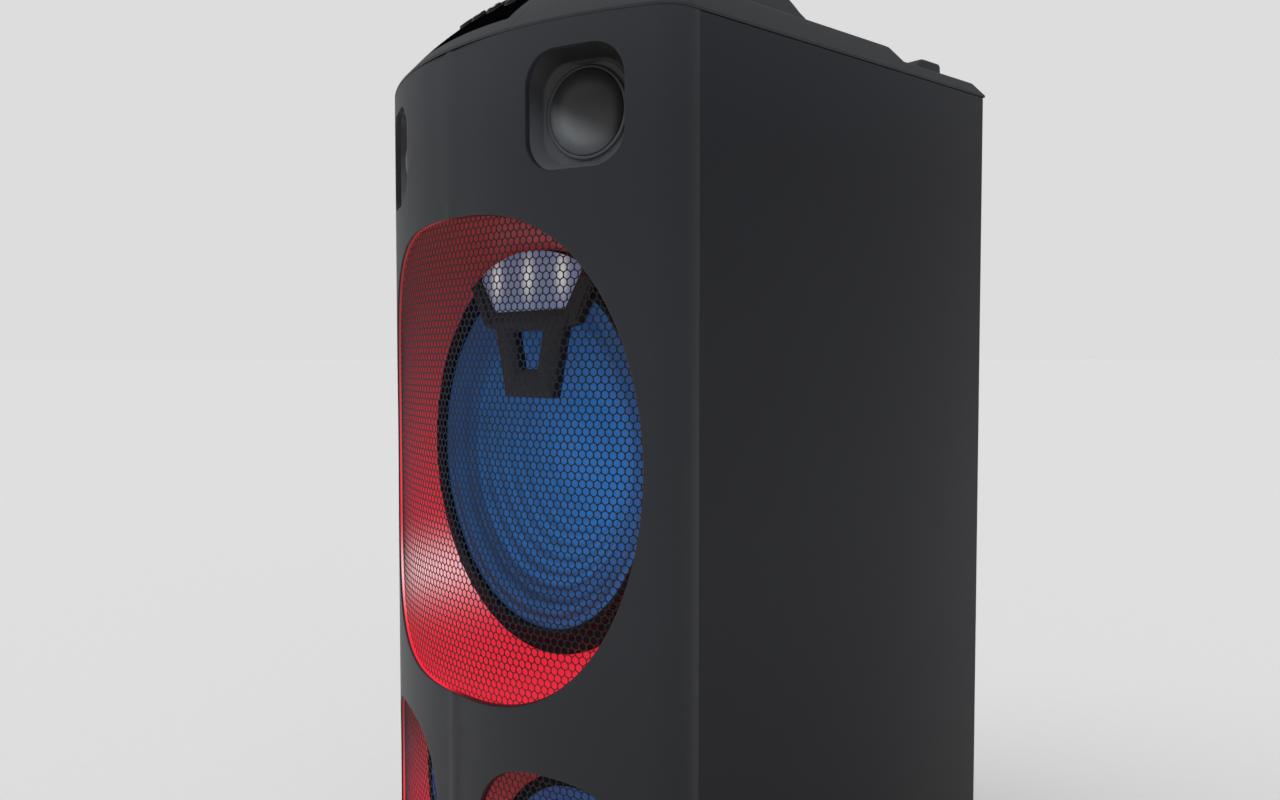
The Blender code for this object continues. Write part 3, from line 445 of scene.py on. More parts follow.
turns = np.linspace(0, math.pi / 2, 7)
profile = [(0.0030, side_front_y), (0.0001, side_front_y), (0.0, side_front_y + 0.0001)]
profile += [(rear_round * (1 - math.cos(t)), back_y - rear_round * (1 - math.sin(t))) for t in turns]
profile += [(rear_rim, back_y), (rear_rim, back_y - 0.012)]
loops = [upright(rectangle_loop(-half_w + inset, half_w - inset, body_bottom + inset, body_top - inset, 0.0012), y)
         for inset, y in profile]
add_piece("cabinet", [(np.stack(loops), False, True)], cabinet_plastic, slot="cabinet",
          replaces=["cabinet_shell"], sharp=50)

# ==== Bowed front moulding ============================================================
# One injection moulding of grained black plastic, clipped to the cabinet's front.  It is
# cut for the big grille, the two lower grilles and two tweeter pockets, and each cut has a
# small round lip.  A faint crease runs down its middle.
woofer_z = 0.398
upper_cut = dict(s=0.0, z=woofer_z, half_w=0.1554, half_h=0.1573, powers=(3.0, 1.95))
lower_s = 0.0898
lower_cut = dict(s=lower_s, z=0.138, half_w=0.0656, half_h=0.0695, powers=(2.6, 2.6))
pocket_cut = dict(s=0.1094, z=0.6115, half_w=0.0344, half_h=0.03575, corner=0.021)
front_wall = 0.0022
lip_round = 0.0008
pocket_lip_depth = 0.0045
turn_in = 0.0035
stations_on_arc = 34
station = on_arc / stations_on_arc
foot_round, brow_round, seam_edge = 0.0012, 0.0003, 0.00008
bands = (body_bottom + foot_round, 0.2245, 0.5655, body_top - brow_round)


def edge_reach(cut, angle):
    """Distance r from a cut's centre to its edge at an angle.

    With powers m and n it solves (r cos / a)^m + (r sin / b)^n = 1 by Newton's steps; with a
    corner it is a rectangle whose corner is a circle, found where the ray meets the circle.
    """
    c, s = np.abs(np.cos(angle)), np.abs(np.sin(angle))
    if "powers" in cut:
        m, n = cut["powers"]
        r = np.minimum(cut["half_w"] / np.maximum(c, 1e-3), cut["half_h"] / np.maximum(s, 1e-3))
        for _ in range(12):
            u, v = (r * c / cut["half_w"]) ** m, (r * s / cut["half_h"]) ** n
            r = r * (1 - (u + v - 1) / (m * u + n * v))
        return r
    flat = np.minimum(cut["half_w"] / np.maximum(c, 1e-9), cut["half_h"] / np.maximum(s, 1e-9))
    mid = (cut["half_w"] - cut["corner"], cut["half_h"] - cut["corner"])
    along = c * mid[0] + s * mid[1]
    inside = along**2 - (mid[0] ** 2 + mid[1] ** 2 - cut["corner"] ** 2)
    arc = along + np.sqrt(np.maximum(inside, 0.0))
    in_corner = (arc * c > mid[0]) & (arc * s > mid[1])
    return np.where(in_corner, arc, flat)


def crease(s):
    """Depth either side of the crease: a wide shallow dip less a narrow round ridge."""
    return 0.0010 * np.exp(-((s / 0.034) ** 2)) * (1 - np.exp(-((s / 0.0034) ** 2)))


def fan(cut, low, high, profile):
    """A grid from a rectangle in (s, z) to a cut's edge, then along a lip profile.

    Each point of the rectangle goes in along its ray from the cut's centre.  The profile is
    (distance out from the edge, depth) pairs.
    """
    across = max(int(round((high[0] - low[0]) / station)), 1)
    upward = max(int(round((high[1] - low[1]) / station)), 1)
    s = np.linspace(low[0], high[0], across + 1)
    z = np.linspace(low[1], high[1], upward + 1)
    edge_s = np.concatenate([s[:-1], np.full(upward, high[0]), s[:0:-1], np.full(upward, low[0])])
    edge_z = np.concatenate([np.full(across, low[1]), z[:-1], np.full(across, high[1]), z[:0:-1]])
    ds, dz = edge_s - cut["s"], edge_z - cut["z"]
    angle = np.arctan2(dz, ds)
    near = edge_reach(cut, angle)
    start = near + profile[0][0]
    inward = np.linspace(1, 0, 9)[:-1, None] ** 1.3
    out, depth = np.array(profile).T[:, :, None]
    reach = np.concatenate([start + (np.hypot(ds, dz) - start) * inward, near + out])
    depth = np.concatenate([0 * inward, depth])
    s_all = cut["s"] + reach * np.cos(angle)
    return bowed(s_all, cut["z"] + reach * np.sin(angle), depth + crease(s_all))


turns = np.linspace(0, math.pi / 2, 6)
lip = [(lip_round * (1 - math.sin(t)), lip_round * (1 - math.cos(t))) for t in turns]
lip += [(0.0, front_wall), (0.0050, front_wall)]
grids = [(fan(upper_cut, (-on_arc, bands[1]), (on_arc, bands[2]), lip), False, True)]
for side in (-1, 1):
    span = (0.0, on_arc) if side > 0 else (-on_arc, 0.0)
    lower = dict(lower_cut, s=side * lower_cut["s"])
    grids.append((fan(lower, (span[0], bands[0]), (span[1], bands[1]), lip), False, True))
    pocket = dict(pocket_cut, s=side * pocket_cut["s"])
    pocket_lip = lip[:-2] + [(0.0, pocket_lip_depth)]
    grids.append((fan(pocket, (span[0], bands[2]), (span[1], bands[3]), pocket_lip), False, True))
heights = [np.linspace(a, b, int(round((b - a) / station)) + 1) for a, b in zip(bands, bands[1:])]
heights = np.concatenate([heights[0], heights[1][1:], heights[2][1:]])
round_corner = np.append(np.linspace(on_arc, on_arc + 0.0252, 19)[:-1], seam_run - 2 * seam_edge)
for side in (-1, 1):
    s = side * round_corner
    wrap = np.concatenate([bowed(s, 0.0), bowed(s[-1:] + side * seam_edge, 0.0, seam_edge),
                           bowed(s[-1:] + side * seam_edge, 0.0, 0.003)])
    grid = np.repeat(wrap[None], len(heights), 0)
    grid[:, :, 2] = heights[:, None]
    grids.append((grid, False, False))
run = np.concatenate([station * np.arange(stations_on_arc + 1), round_corner[1:]])
run = np.concatenate([-run[:0:-1], run])
for z, away in ((bands[0], -foot_round), (bands[3], brow_round)):
    rim = [(abs(away) * (1 - math.cos(t)), z + away * math.sin(t)) for t in np.linspace(0, math.pi / 2, 5)]
    rim.append((turn_in, z + away))
    rows = [bowed(run, height, depth + crease(run)) for depth, height in rim]
    grids.append((np.stack(rows), False, False))
add_piece("front_moulding", grids, casing_plastic, slot="casing", replaces=["front_shell"], sharp=50)

# ==== Lit dishes ======================================================================
# Deep funnels of translucent red plastic behind each grille, from the cut's edge back to
# the driver's ring.  Coloured lamps behind them make them glow, most at the foot, and a
# bright line shows where their front rim comes out at the edge of the cut.
seat_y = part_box("baffle_board")[0][1] - hairline
ring_radius = 0.1414


def glow_plastic(name, centre, half_h, highlight_at, spread, rim_depth=0.0040):
    """Red plastic lit from behind: dim at the top, bright at the foot, brighter at its rim.

    The light is a ramp in height, plus a bell-shaped painted highlight at (x, z), plus a narrow band
    at the front rim, found from the depth below the bow; the band fades out on the right.
    """
    net = Net(name)
    x, y, z = net.split(net.place())
    reach = (x * x + (y - bow_centre_y) * (y - bow_centre_y)).math("SQRT")
    depth = bow_radius - reach
    rim = 1.0 - depth.ramp(rim_depth, rim_depth + 0.0012)
    low = 1.0 - ((z - centre) / half_h).ramp(-0.9, 0.9)
    drift = net.noise(14.0, 2.0)
    fine = net.noise(1500.0, 2.0)
    painted_highlight = z.bell(highlight_at[1], spread[1]) * x.bell(highlight_at[0], spread[0])
    level = low * 0.70 + rim * 0.10 + 0.15 + (drift - 0.5) * 0.06
    red = net.mix(low, (0.85, 0.110, 0.115), (0.88, 0.018, 0.043))
    shut = (x + 0.030).ramp(0.0, 0.045) * rim
    glow = net.mix(((level + rim * 0.40 * low) * (1.0 - shut)).clamp(), (0.0, 0.0, 0.0), red)
    # A pale pink streak blended over the glow: a painted highlight.
    glow = net.mix(painted_highlight.clamp(), glow, (1.0, 0.58, 0.60))
    net.surface(Base_Color=net.mix(fine, (0.075, 0.006, 0.008), (0.105, 0.008, 0.010)),
                Roughness=fine * 0.1 + 0.45, Specular_IOR_Level=0.2, Normal=net.bump(fine, 0.15, 0.0001),
                Emission_Color=glow, Emission_Strength=1.0)
    return net.material


def cut_loop(cut, grow, depth, count=160):
    """Points round a cut's edge, moved out by grow, on the bow at a depth."""
    angle = np.arange(count) * 2 * math.pi / count
    reach = edge_reach(cut, angle) + grow
    return bowed(cut["s"] + reach * np.cos(angle), cut["z"] + reach * np.sin(angle), depth)


def dish(cut, ring):
    """The grid of a dish: its rim round the cut, then a wall blended back to the ring's loop."""
    rim = [(0.0004, 0.0018), (-0.0001, 0.0014), (-0.0004, 0.0015), (-0.0006, 0.0040), (-0.0003, 0.0043)]
    front = np.stack([cut_loop(cut, grow, depth) for grow, depth in rim])
    edge = cut_loop(cut, -0.0002, 0.0048)
    t = np.linspace(0, 1, 26)[:, None, None] ** 0.9
    return [(np.concatenate([front, edge * (1 - t) + ring * t]), False, True)]


def seat_on_bow(s, z, depth):
    """A place sunk into the bow, with its directions across, up and out."""
    heading = s / bow_radius
    return dict(centre=bowed(s, z, depth), across=np.array([math.cos(heading), math.sin(heading), 0.0]),
                up=(0, 0, 1), axis=np.array([math.sin(heading), -math.cos(heading), 0.0]))


forward = dict(across=(1, 0, 0), up=(0, 0, 1), axis=(0, -1, 0))
upper_glow = glow_plastic("upper_glow", woofer_z, 0.157, (-0.155, 0.298), (0.060, 0.0150))
ring = turned([(ring_radius + 0.0004, 0.0)], (0.0, seat_y, woofer_z), sides=160, **forward)[0]
add_piece("lit_dish_upper", dish(upper_cut, ring), upper_glow, slot="glow", replaces=["glow_dish_upper"],
          facing=(0, -1, 0), sharp=60)
mid_recess = 0.0273
mids = {}
for side, word in ((-1, "left"), (1, "right")):
    cut = dict(lower_cut, s=side * lower_s)
    mids[word] = seat_on_bow(cut["s"], cut["z"], mid_recess)
    ring = turned([(0.0606, -0.0040)], sides=160, **mids[word])[0]
    glow = glow_plastic(f"lower_glow_{word}", cut["z"], 0.0695, (side * 0.09, 0.0), (0.05, 0.005))
    add_piece(f"lit_dish_lower_{word}", dish(cut, ring), glow, slot="glow",
              replaces=[f"glow_dish_lower_{word}"], facing=mids[word]["axis"], sharp=60)

# ==== Grilles =========================================================================
# Punched sheet steel, powder-coated black, pressed to the bow's curve and held behind the
# cut's lip.  The holes are round-cornered hexagons in staggered rows.
hole_pitch = 0.0052
row_pitch = 0.00445
grille_depth = 0.0029
grille_thick = 0.0003


def grille_paint(name, centre_s, centre_z, half_h, ring):
    """Black powder coat, with a little red and blue light from the lamps behind painted on it as emission.

    The light is blue inside a radius about the driver's axis and red outside the ring, where
    it is stronger towards the foot and absent at the foot's right-hand side.
    """
    net = Net(name)
    x, y, z = net.split(net.place())
    u = x - centre_s
    v = z - centre_z
    reach = (u * u + v * v).math("SQRT") / ring
    inside = 1.0 - reach.ramp(0.70, 0.92)
    low = 1.0 - (v / half_h).ramp(-1.0, 0.2)
    red = net.mix(low * low, (0.016, 0.002, 0.0025), (0.12, 0.006, 0.011))
    outside = reach.ramp(0.98, 1.06)
    beside = (v / half_h).ramp(-0.80, -0.60) * (u / half_h).ramp(-0.35, 0.10)
    # Red and blue light painted on the coat as emission: painted spill light.
    painted_spill = net.mix((1.0 - outside + beside).clamp(), red, (0.003, 0.002, 0.003))
    painted_spill = net.mix(inside, painted_spill, (0.0025, 0.007, 0.018))
    speckle = net.noise(1800.0, 2.0)
    net.surface(Base_Color=net.mix(speckle.ramp(0.35, 0.65), (0.005, 0.005, 0.006), (0.010, 0.010, 0.012)),
                Roughness=speckle * 0.2 + 0.50, Specular_IOR_Level=0.25, Normal=net.bump(speckle, 0.3, 0.0001),
                Emission_Color=painted_spill, Emission_Strength=1.0)
    return net.material


def punched(cut, reach=0.0038, shrink=(0.90, 0.86)):
    """Points and quads of a staggered sheet of holes that fills a cut, just past its edge.

    Every hole has a cell whose outline is the six points half-way to its neighbours, with the
    middles of its sides between them; the hole is that outline drawn in and rounded by
    blending it with an ellipse.
    """
    rows = int(cut["half_h"] / row_pitch) + 3
    columns = int(cut["half_w"] / hole_pitch) + 3
    j, i = np.mgrid[-rows:rows + 1, -columns:columns + 1]
    s = (i + 0.5 * (j % 2)).ravel() * hole_pitch
    z = j.ravel() * row_pitch
    keep = np.hypot(s, z) < edge_reach(cut, np.arctan2(z, s)) + reach
    s, z = s[keep] + cut["s"], z[keep] + cut["z"]
    half, tall = hole_pitch / 2, row_pitch * 2 / 3
    six = np.array([(half, -tall / 2), (half, tall / 2), (0, tall),
                    (-half, tall / 2), (-half, -tall / 2), (0, -tall)])
    outer = np.stack([six, (six + np.roll(six, -1, 0)) / 2], 1).reshape(-1, 2)
    turn = np.arctan2(outer[:, 1] / tall, outer[:, 0] / half)
    oval = np.column_stack([np.cos(turn) * half, np.sin(turn) * tall]) * 0.95
    inner = (outer * 0.45 + oval * 0.55) * np.array(shrink)
    loops = [(outer, 0.0), (inner, 0.0), (inner * 0.99, grille_thick)]
    points = np.stack([bowed(s[:, None] + loop[:, 0], z[:, None] + loop[:, 1], grille_depth + down)
                       for loop, down in loops], 1)
    count = len(outer)
    a = np.arange(count)
    b = (a + 1) % count
    quads = np.concatenate([np.column_stack([k * count + a, k * count + b, (k + 1) * count + b,
                                             (k + 1) * count + a]) for k in (0, 1)])
    quads = quads[None] + (np.arange(len(s)) * 3 * count)[:, None, None]
    return points.reshape(-1, 3), quads.reshape(-1, 4)


for name, cut in (("upper", upper_cut), ("lower_left", dict(lower_cut, s=-lower_s)),
                  ("lower_right", dict(lower_cut, s=lower_s))):
    points, quads = punched(cut)
    mesh = bpy.data.meshes.new(f"grille_sheet_{name}")
    mesh.from_pydata(points, [], quads)
    ring = 0.145 if name == "upper" else 0.058
    paint = grille_paint(f"grille_paint_{name}", float(bowed(cut["s"], 0.0)[0]), cut["z"], cut["half_h"], ring)
    finish_piece(f"grille_sheet_{name}", mesh, paint, slot="mesh", replaces=[f"grille_{name}"], sharp=30)

# ==== Woofer ==========================================================================
# A ten-inch driver screwed to the baffle: trim ring, pressed steel basket, ribbed cone with
# a round cap, and a rolled surround.  The blue light of lamps under the dish's edge is painted on its face.
woofer_at = (0.0, -0.117, woofer_z)
forward["centre"] = woofer_at


def ring_material(name, seat, inner, outer):
    """Grained black plastic with a fine knurl: ridges round the ring between two radii, painted paler as a painted
    highlight.

    The ridge is a sine of the angle about the ring's centre, seen along its axis.
    """
    net = Net(name)
    u, v, radius = net.seen_along(seat)
    ridge = (v.math("ARCTAN2", u) * 260.0).math("SINE") * 0.5 + 0.5
    band = radius.ramp(inner, inner + 0.0004) * (1.0 - radius.ramp(outer - 0.0004, outer))
    fine = net.noise(2400.0, 2.0)
    height = ridge * band + fine * 0.15
    # The knurl's ridges are painted paler than the ring: a painted highlight.
    net.surface(Base_Color=net.mix(ridge * band, (0.0060, 0.0100, 0.0100), (0.045, 0.058, 0.056)),
                Roughness=fine * 0.12 + 0.42, Specular_IOR_Level=0.06, Normal=net.bump(height, 0.5, 0.0005))
    return net.material


def blue_lit(name, base, bright, dark, seat, tight, fibre=700.0, period=0.0092, rough=0.55):
    """A driver face with blue light painted on it as emission: brightest beside its middle, with faint rings.

    The light is a bell about a point off the axis; the rings are a sine of the radius, seen
    best below the middle; paper fibre breaks both up.
    """
    net = Net(name)
    u, v, radius = net.seen_along(seat)
    wander = net.noise(30.0, 2.0)
    rings = (radius * (2 * math.pi / period) + wander * 2.0).math("SINE") * 0.5 + 0.5
    below = (1.0 - (v / tight).ramp(-0.9, 0.3)) * (radius / tight).ramp(0.25, 0.6)
    light = ((u - tight * 0.20) / (tight * 0.66)).bell(0.0, 1.0)
    light = light * ((v + tight * 0.14) / (tight * 0.55)).bell(0.0, 1.0)
    fine = net.noise(fibre, 3.0)
    cloud = net.noise(22.0, 2.0)
    # The emission is painted blue light: a bright pool beside the middle, with painted rings of light and shade.
    level = light * 0.88 + 0.06 + (rings - 0.5) * (below * 0.42 + 0.07)
    level = level + (cloud - 0.5) * 0.34 + (fine - 0.5) * 0.10
    return net.surface(Base_Color=net.mix(fine, base, tuple(1.25 * one for one in base)),
                       Roughness=fine * 0.15 + rough, Specular_IOR_Level=0.2,
                       Normal=net.bump(fine + rings * 0.5, 0.35, 0.0003),
                       Emission_Color=net.mix(level.clamp(), dark, bright), Emission_Strength=1.0)


ring_plastic = ring_material("woofer_ring_plastic", forward, 0.1284, 0.1306)
profile = rounded([(0.1240, -0.0002), (0.1240, 0.0032), (0.1254, 0.0040), (0.1286, 0.0038), (0.1296, 0.0008),
                   (0.1304, 0.0004), (0.1310, 0.0004), (0.1316, 0.0), (0.1400, 0.0), (0.1413, -0.0010),
                   (0.1413, -0.0030)], 0.0005)
add_turned("woofer_ring", profile, forward, ring_plastic, 160, slot="trim", replaces=["woofer_bezel"],
           facing=(0, -1, 0), sharp=60)

cone_blue = blue_lit("woofer_cone_blue", (0.008, 0.014, 0.026), (0.017, 0.120, 0.370), (0.0085, 0.022, 0.058),
                     forward, 0.120)
surround_blue = blue_lit("woofer_surround_blue", (0.008, 0.012, 0.022), (0.020, 0.095, 0.290),
                         (0.009, 0.021, 0.054), forward, 0.120, 1500.0)
t = np.linspace(0, 1, 25)
rim = (0.1120, -0.0004)
roll = np.column_stack([rim[0] + (0.1000 - rim[0]) * t,
                        rim[1] + (-0.0062 - rim[1]) * t - 0.0060 * np.sin(math.pi * t)])
profile = np.concatenate([[(0.1262, -0.0014), (0.1262, -0.0004), (0.1180, -0.0004)], roll,
                          [(0.0985, -0.0072), (0.0957, -0.0084), (0.0955, -0.0092)]])
add_turned("woofer_roll", profile, forward, surround_blue, 128, slot="rubber", replaces=["woofer_surround"],
           facing=(0, -1, 0), sharp=60)

radius = np.linspace(0.0990, 0.0350, 90)
height = np.interp(radius, [0.0350, 0.0580, 0.0800, 0.0990], [-0.0455, -0.0340, -0.0205, -0.0078])
flare = 0.0010 * np.sin(math.pi * (radius - 0.0350) / 0.0640)
ripple = 0.00028 * np.cos(2 * math.pi * radius / 0.0078) * np.clip((0.0985 - radius) / 0.004, 0, 1)
front = np.column_stack([radius, height + flare + ripple])
profile = np.concatenate([front, [(0.0350, -0.0467), (0.0990, -0.0092), (0.0990, -0.0078)]])
add_turned("woofer_cone_paper", profile, forward, cone_blue, 128, body="woofer_moving", slot="cone",
           replaces=["woofer_cone"], sharp=60)


def cap_profile(radius, height, top, steps=18):
    """A spherical cap from its edge to its pole, as (radius, height) points."""
    ball = (radius**2 + height**2) / (2 * height)
    r = radius * np.sin(np.linspace(math.pi / 2, 0, steps))
    return np.column_stack([r, top - ball + np.sqrt(ball**2 - r**2)])


cap = cap_profile(0.0385, 0.0135, -0.0290)
profile = np.concatenate([cap, [(0.0, -0.0302), (0.0375, -0.0440), (0.0385, -0.0425)]])
add_turned("woofer_cap", profile, forward, cone_blue, body="woofer_moving", slot="cone",
           replaces=["woofer_dust_cap"], sharp=60)


def metal(name, dark, light, roughness, metallic, grain, depth=0.0001, stretch=(1.0, 1.0, 1.0)):
    """Metal or ferrite with a grain that may be stretched along one axis."""
    net = Net(name)
    place = net.add("Mapping", in0=net.place(), in3=stretch)
    fine = net.noise(grain, 3.0, vector=place)
    net.surface(Base_Color=net.mix(fine.ramp(0.3, 0.7), dark, light), Metallic=metallic,
                Roughness=fine * 0.2 + (roughness - 0.1), Normal=net.bump(fine, 0.3, depth))
    return net.material


steel = metal("pressed_steel", (0.30, 0.31, 0.32), (0.42, 0.43, 0.45), 0.38, 1.0, 420.0,
              stretch=(1.0, 6.0, 1.0))
ferrite = metal("ferrite", (0.030, 0.030, 0.033), (0.052, 0.052, 0.056), 0.62, 0.2, 900.0, 0.0002)
copper = metal("copper_wire", (0.62, 0.26, 0.12), (0.80, 0.40, 0.22), 0.32, 1.0, 260.0,
               stretch=(1.0, 40.0, 1.0))
net = Net("spider_cloth")
x, y, z = net.split(net.place())
weave = (x * 5200.0).math("SINE") * (z * 5200.0).math("SINE")
loose = net.noise(160.0)
net.surface(Base_Color=net.mix((weave * 0.3 + loose).clamp(), (0.36, 0.22, 0.08), (0.60, 0.40, 0.18)),
            Roughness=loose * 0.1 + 0.82, Normal=net.bump(weave, 0.5, 0.0002))
for node, finish in (("woofer_basket", steel), ("woofer_top_plate", steel), ("woofer_yoke", steel),
                     ("woofer_magnet", ferrite), ("woofer_voice_coil", copper),
                     ("woofer_spider", net.material)):
    dress(node, finish)

# ==== Strobe light ====================================================================
# A frosted lens with three white lamps behind it, clipped into a black moulded bracket
# that hangs over the top of the woofer.
lens_bottom, lens_side, lens_top = (0.0424, 0.0991), (0.0606, 0.1233), 0.1405


def lens_loop(grow, z):
    """The lens outline in the ring's plane: flat foot, flared sides, round top."""
    foot = (lens_bottom[0] + grow, lens_bottom[1] - grow)
    side = (lens_side[0] + grow, lens_side[1])
    top = lens_top + grow
    start = math.acos(side[0] / top)
    turn = np.linspace(start, math.pi - start, 40)
    arc = np.column_stack([top * np.cos(turn), top * np.sin(turn)])
    edge = np.concatenate([[(-foot[0], foot[1]), foot, side], arc[1:-1], [(-side[0], side[1])]])
    return upright(rounded(edge, 0.0016, 4, closed=True) + [0.0, woofer_z], woofer_at[1] - z)


net = Net("frosted_lens")
x, y, z = net.split(net.place())
lamp_x = 0.0394
lamps = sum((x.bell(at, 0.0042) for at in (-lamp_x, lamp_x)), x.bell(0.0, 0.0042))
halo = sum((x.bell(at, 0.0110) for at in (-lamp_x, lamp_x)), x.bell(0.0, 0.0110))
up = (z - woofer_z).bell(0.1225, 0.0095)
ribs = (x * (2 * math.pi / 0.0024)).math("SINE") * 0.5 + 0.5
frost = net.noise(1100.0, 2.0)
base = net.mix((z - woofer_z).ramp(0.098, 0.140), (0.042, 0.056, 0.120), (0.060, 0.074, 0.140))
glow = net.mix((halo * up * 0.40).clamp(), base, (0.115, 0.130, 0.170))
glow = net.mix((lamps * up * (frost * 0.3 + 0.85)).clamp(), glow, (0.46, 0.44, 0.42))
net.surface(Base_Color=net.mix(frost, (0.10, 0.12, 0.18), (0.14, 0.16, 0.23)), Roughness=frost * 0.1 + 0.25,
            Normal=net.bump(ribs * 0.5 + frost * 0.3, 0.35, 0.0003), Emission_Color=glow, Emission_Strength=1.0)
steps = [(0.0, 0.0042), (0.0, 0.0061), (-0.0002, 0.0064), (-0.0006, 0.0066), (-0.0100, 0.0068)]
loops = np.stack([lens_loop(grow, z) for grow, z in steps])
pole = np.broadcast_to([[(0.0, woofer_at[1] - 0.0070, woofer_z + 0.1200)]], (1, loops.shape[1], 3))
add_piece("strobe_window", [(np.concatenate([loops, pole]), False, True)], net.material, slot="lens",
          replaces=["strobe_lens"], facing=(0, -1, 0))

bracket_edge = [(0.0288, 0.0385), (0.0412, 0.0864), (0.0561, 0.0885), (0.0752, 0.1182), (0.0610, 0.1262),
                (0.0608, 0.1231), (0.0426, 0.0989)]
bracket_edge = np.array(bracket_edge + [(-x, y) for x, y in reversed(bracket_edge)])


def plate(outline, holes, low, high, soften, centre, across, up, axis):
    """A flat plate with holes, its front edges eased: outline and holes are 2-D loops.

    Each loop is drawn in or out along its own normals by soften at the front face, and the
    faces between them are filled by triangulation.
    """
    work = bmesh.new()
    centre, across, up, axis = (np.array(one, float) for one in (centre, across, up, axis))

    def shift(loop, by):
        """Move each point of a loop along the mean normal of its two sides."""
        ahead = np.roll(loop, -1, 0) - loop
        ahead /= np.linalg.norm(ahead, axis=1)[:, None]
        behind = np.roll(ahead, 1, 0)
        out = np.column_stack([ahead[:, 1] + behind[:, 1], -ahead[:, 0] - behind[:, 0]])
        return loop + by * out / (1 + np.sum(ahead * behind, 1))[:, None]

    rims = []
    for loop, by in [(outline, -soften)] + [(hole, soften) for hole in holes]:
        loop = np.asarray(loop, float)
        lean = np.sum(loop[:, 0] * np.roll(loop[:, 1], -1) - np.roll(loop[:, 0], -1) * loop[:, 1])
        loop = loop if lean > 0 else loop[::-1]
        for flat, h in ((loop, low), (loop, high - soften), (shift(loop, by * 0.35), high - soften * 0.35),
                        (shift(loop, by), high)):
            ring = [work.verts.new(centre + across * a + up * b + axis * h) for a, b in flat]
            if h > low:
                for i, here in enumerate(ring):
                    j = (i + 1) % len(ring)
                    work.faces.new((before[i], before[j], ring[j], here))
            before = ring
        rims += [work.edges.get((ring[i], ring[(i + 1) % len(ring)])) for i in range(len(ring))]
    bmesh.ops.triangle_fill(work, use_beauty=True, edges=rims)
    bmesh.ops.recalc_face_normals(work, faces=work.faces)
    top = max(work.faces, key=lambda one: one.calc_center_median().dot(axis))
    if top.normal.dot(axis) < 0:
        bmesh.ops.reverse_faces(work, faces=work.faces)
    mesh = bpy.data.meshes.new("plate")
    work.to_mesh(mesh)
    work.free()
    return mesh


window = rounded([(-0.0109, 0.0582), (0.0109, 0.0582), (0.0176, 0.0854), (-0.0176, 0.0854)], 0.0022,
                 closed=True)
frame_plastic = grained_plastic("bracket_plastic", (0.0120, 0.0130, 0.0130), (0.018, 0.019, 0.019), 0.45)
mesh = plate(rounded(bracket_edge, 0.0018, 4, closed=True), [window], 0.0004, 0.0070, 0.0007,
             **forward)
finish_piece("strobe_frame", mesh, frame_plastic, slot="trim", replaces=["strobe_bracket"])
bar = rounded([(-0.0430, 0.0868), (0.0430, 0.0868), (0.0500, 0.0950), (-0.0500, 0.0950)], 0.0012, closed=True)
mesh = plate(bar, [], 0.0066, 0.0078, 0.0005, **forward)
finish_piece("strobe_crossbar", mesh, frame_plastic, slot="trim")
for side in (-1, 1):
    arm = [(0.0470, 0.0905), (0.0556, 0.0912), (0.0722, 0.1172), (0.0640, 0.1212)]
    arm = rounded([(side * x, y) for x, y in arm], 0.0012, closed=True)
    mesh = plate(arm, [], 0.0066, 0.0078, 0.0005, **forward)
    finish_piece(f"strobe_arm_{'left' if side < 0 else 'right'}", mesh, frame_plastic, slot="trim")

net = Net("circuit_board")
x, y, z = net.split(net.place())
tracks = ((x * 2600.0).math("SINE") * (z * 1700.0).math("SINE")).ramp(0.1, 0.3)
spots = net.add("TexVoronoi", Vector=net.place(), Scale=420.0)
mask = net.noise(300.0)
board = net.mix(tracks, (0.012, 0.080, 0.035), (0.022, 0.130, 0.058))
net.surface(Base_Color=net.mix(1.0 - spots.ramp(0.10, 0.16), board, (0.45, 0.40, 0.28)),
            Roughness=mask * 0.2 + 0.35, Normal=net.bump(tracks, 0.4, 0.0001))
circuit = net.material
dress("strobe_board", circuit)

# ==== Mid drivers =====================================================================
# Two smaller drivers side by side under the woofer, each facing out along the bow, with a
# moulded ring, a rolled surround and a shallow cone and cap with blue light painted on them.
for word, seat in mids.items():
    ring_black = ring_material(f"mid_ring_plastic_{word}", seat, 0.0541, 0.0549)
    profile = rounded([(0.0529, -0.0044), (0.0529, -0.0010), (0.0537, 0.0), (0.0541, 0.0), (0.0542, -0.0004),
                       (0.0548, -0.0004), (0.0549, 0.0), (0.0597, 0.0), (0.0603, -0.0006), (0.0603, -0.0036)],
                      0.0003)
    add_turned(f"mid_ring_{word}", profile, seat, ring_black, slot="trim", replaces=[f"mid_basket_{word}"],
               facing=seat["axis"], sharp=60)
    blue = blue_lit(f"mid_blue_{word}", (0.015, 0.022, 0.040), (0.036, 0.120, 0.400), (0.014, 0.030, 0.095),
                    seat, 0.050, 900.0, 0.0050)
    t = np.linspace(0, 1, 15)
    roll = np.column_stack([0.0485 - 0.0065 * t, -0.0017 - 0.0023 * t - 0.0030 * np.sin(math.pi * t)])
    profile = np.concatenate([[(0.0526, -0.0026), (0.0526, -0.0017)], roll,
                              [(0.0396, -0.0044), (0.0395, -0.0050)]])
    add_turned(f"mid_roll_{word}", profile, seat, blue, slot="rubber", replaces=[f"mid_surround_{word}"],
               facing=seat["axis"], sharp=60)
    cap = cap_profile(0.0140, 0.0055, -0.0065)[::-1]
    radius = np.linspace(0.0143, 0.0405, 30)
    cone = np.column_stack([radius, np.interp(radius, [0.0140, 0.0410], [-0.0120, -0.0052])
                            + 0.00015 * np.sin(2 * math.pi * radius / 0.0050)])
    profile = np.concatenate([cap, cone, [(0.0410, -0.0053), (0.0410, -0.0064), (0.0148, -0.0136), (0.0148, -0.0400),
                                          (0.0134, -0.0400), (0.0134, -0.0140), (0.0, -0.0080)]])
    add_turned(f"mid_face_{word}", profile, seat, blue, body=f"mid_moving_{word}", slot="cone",
               replaces=[f"mid_cone_{word}"], sharp=60)
    dress(f"mid_magnet_{word}", ferrite)

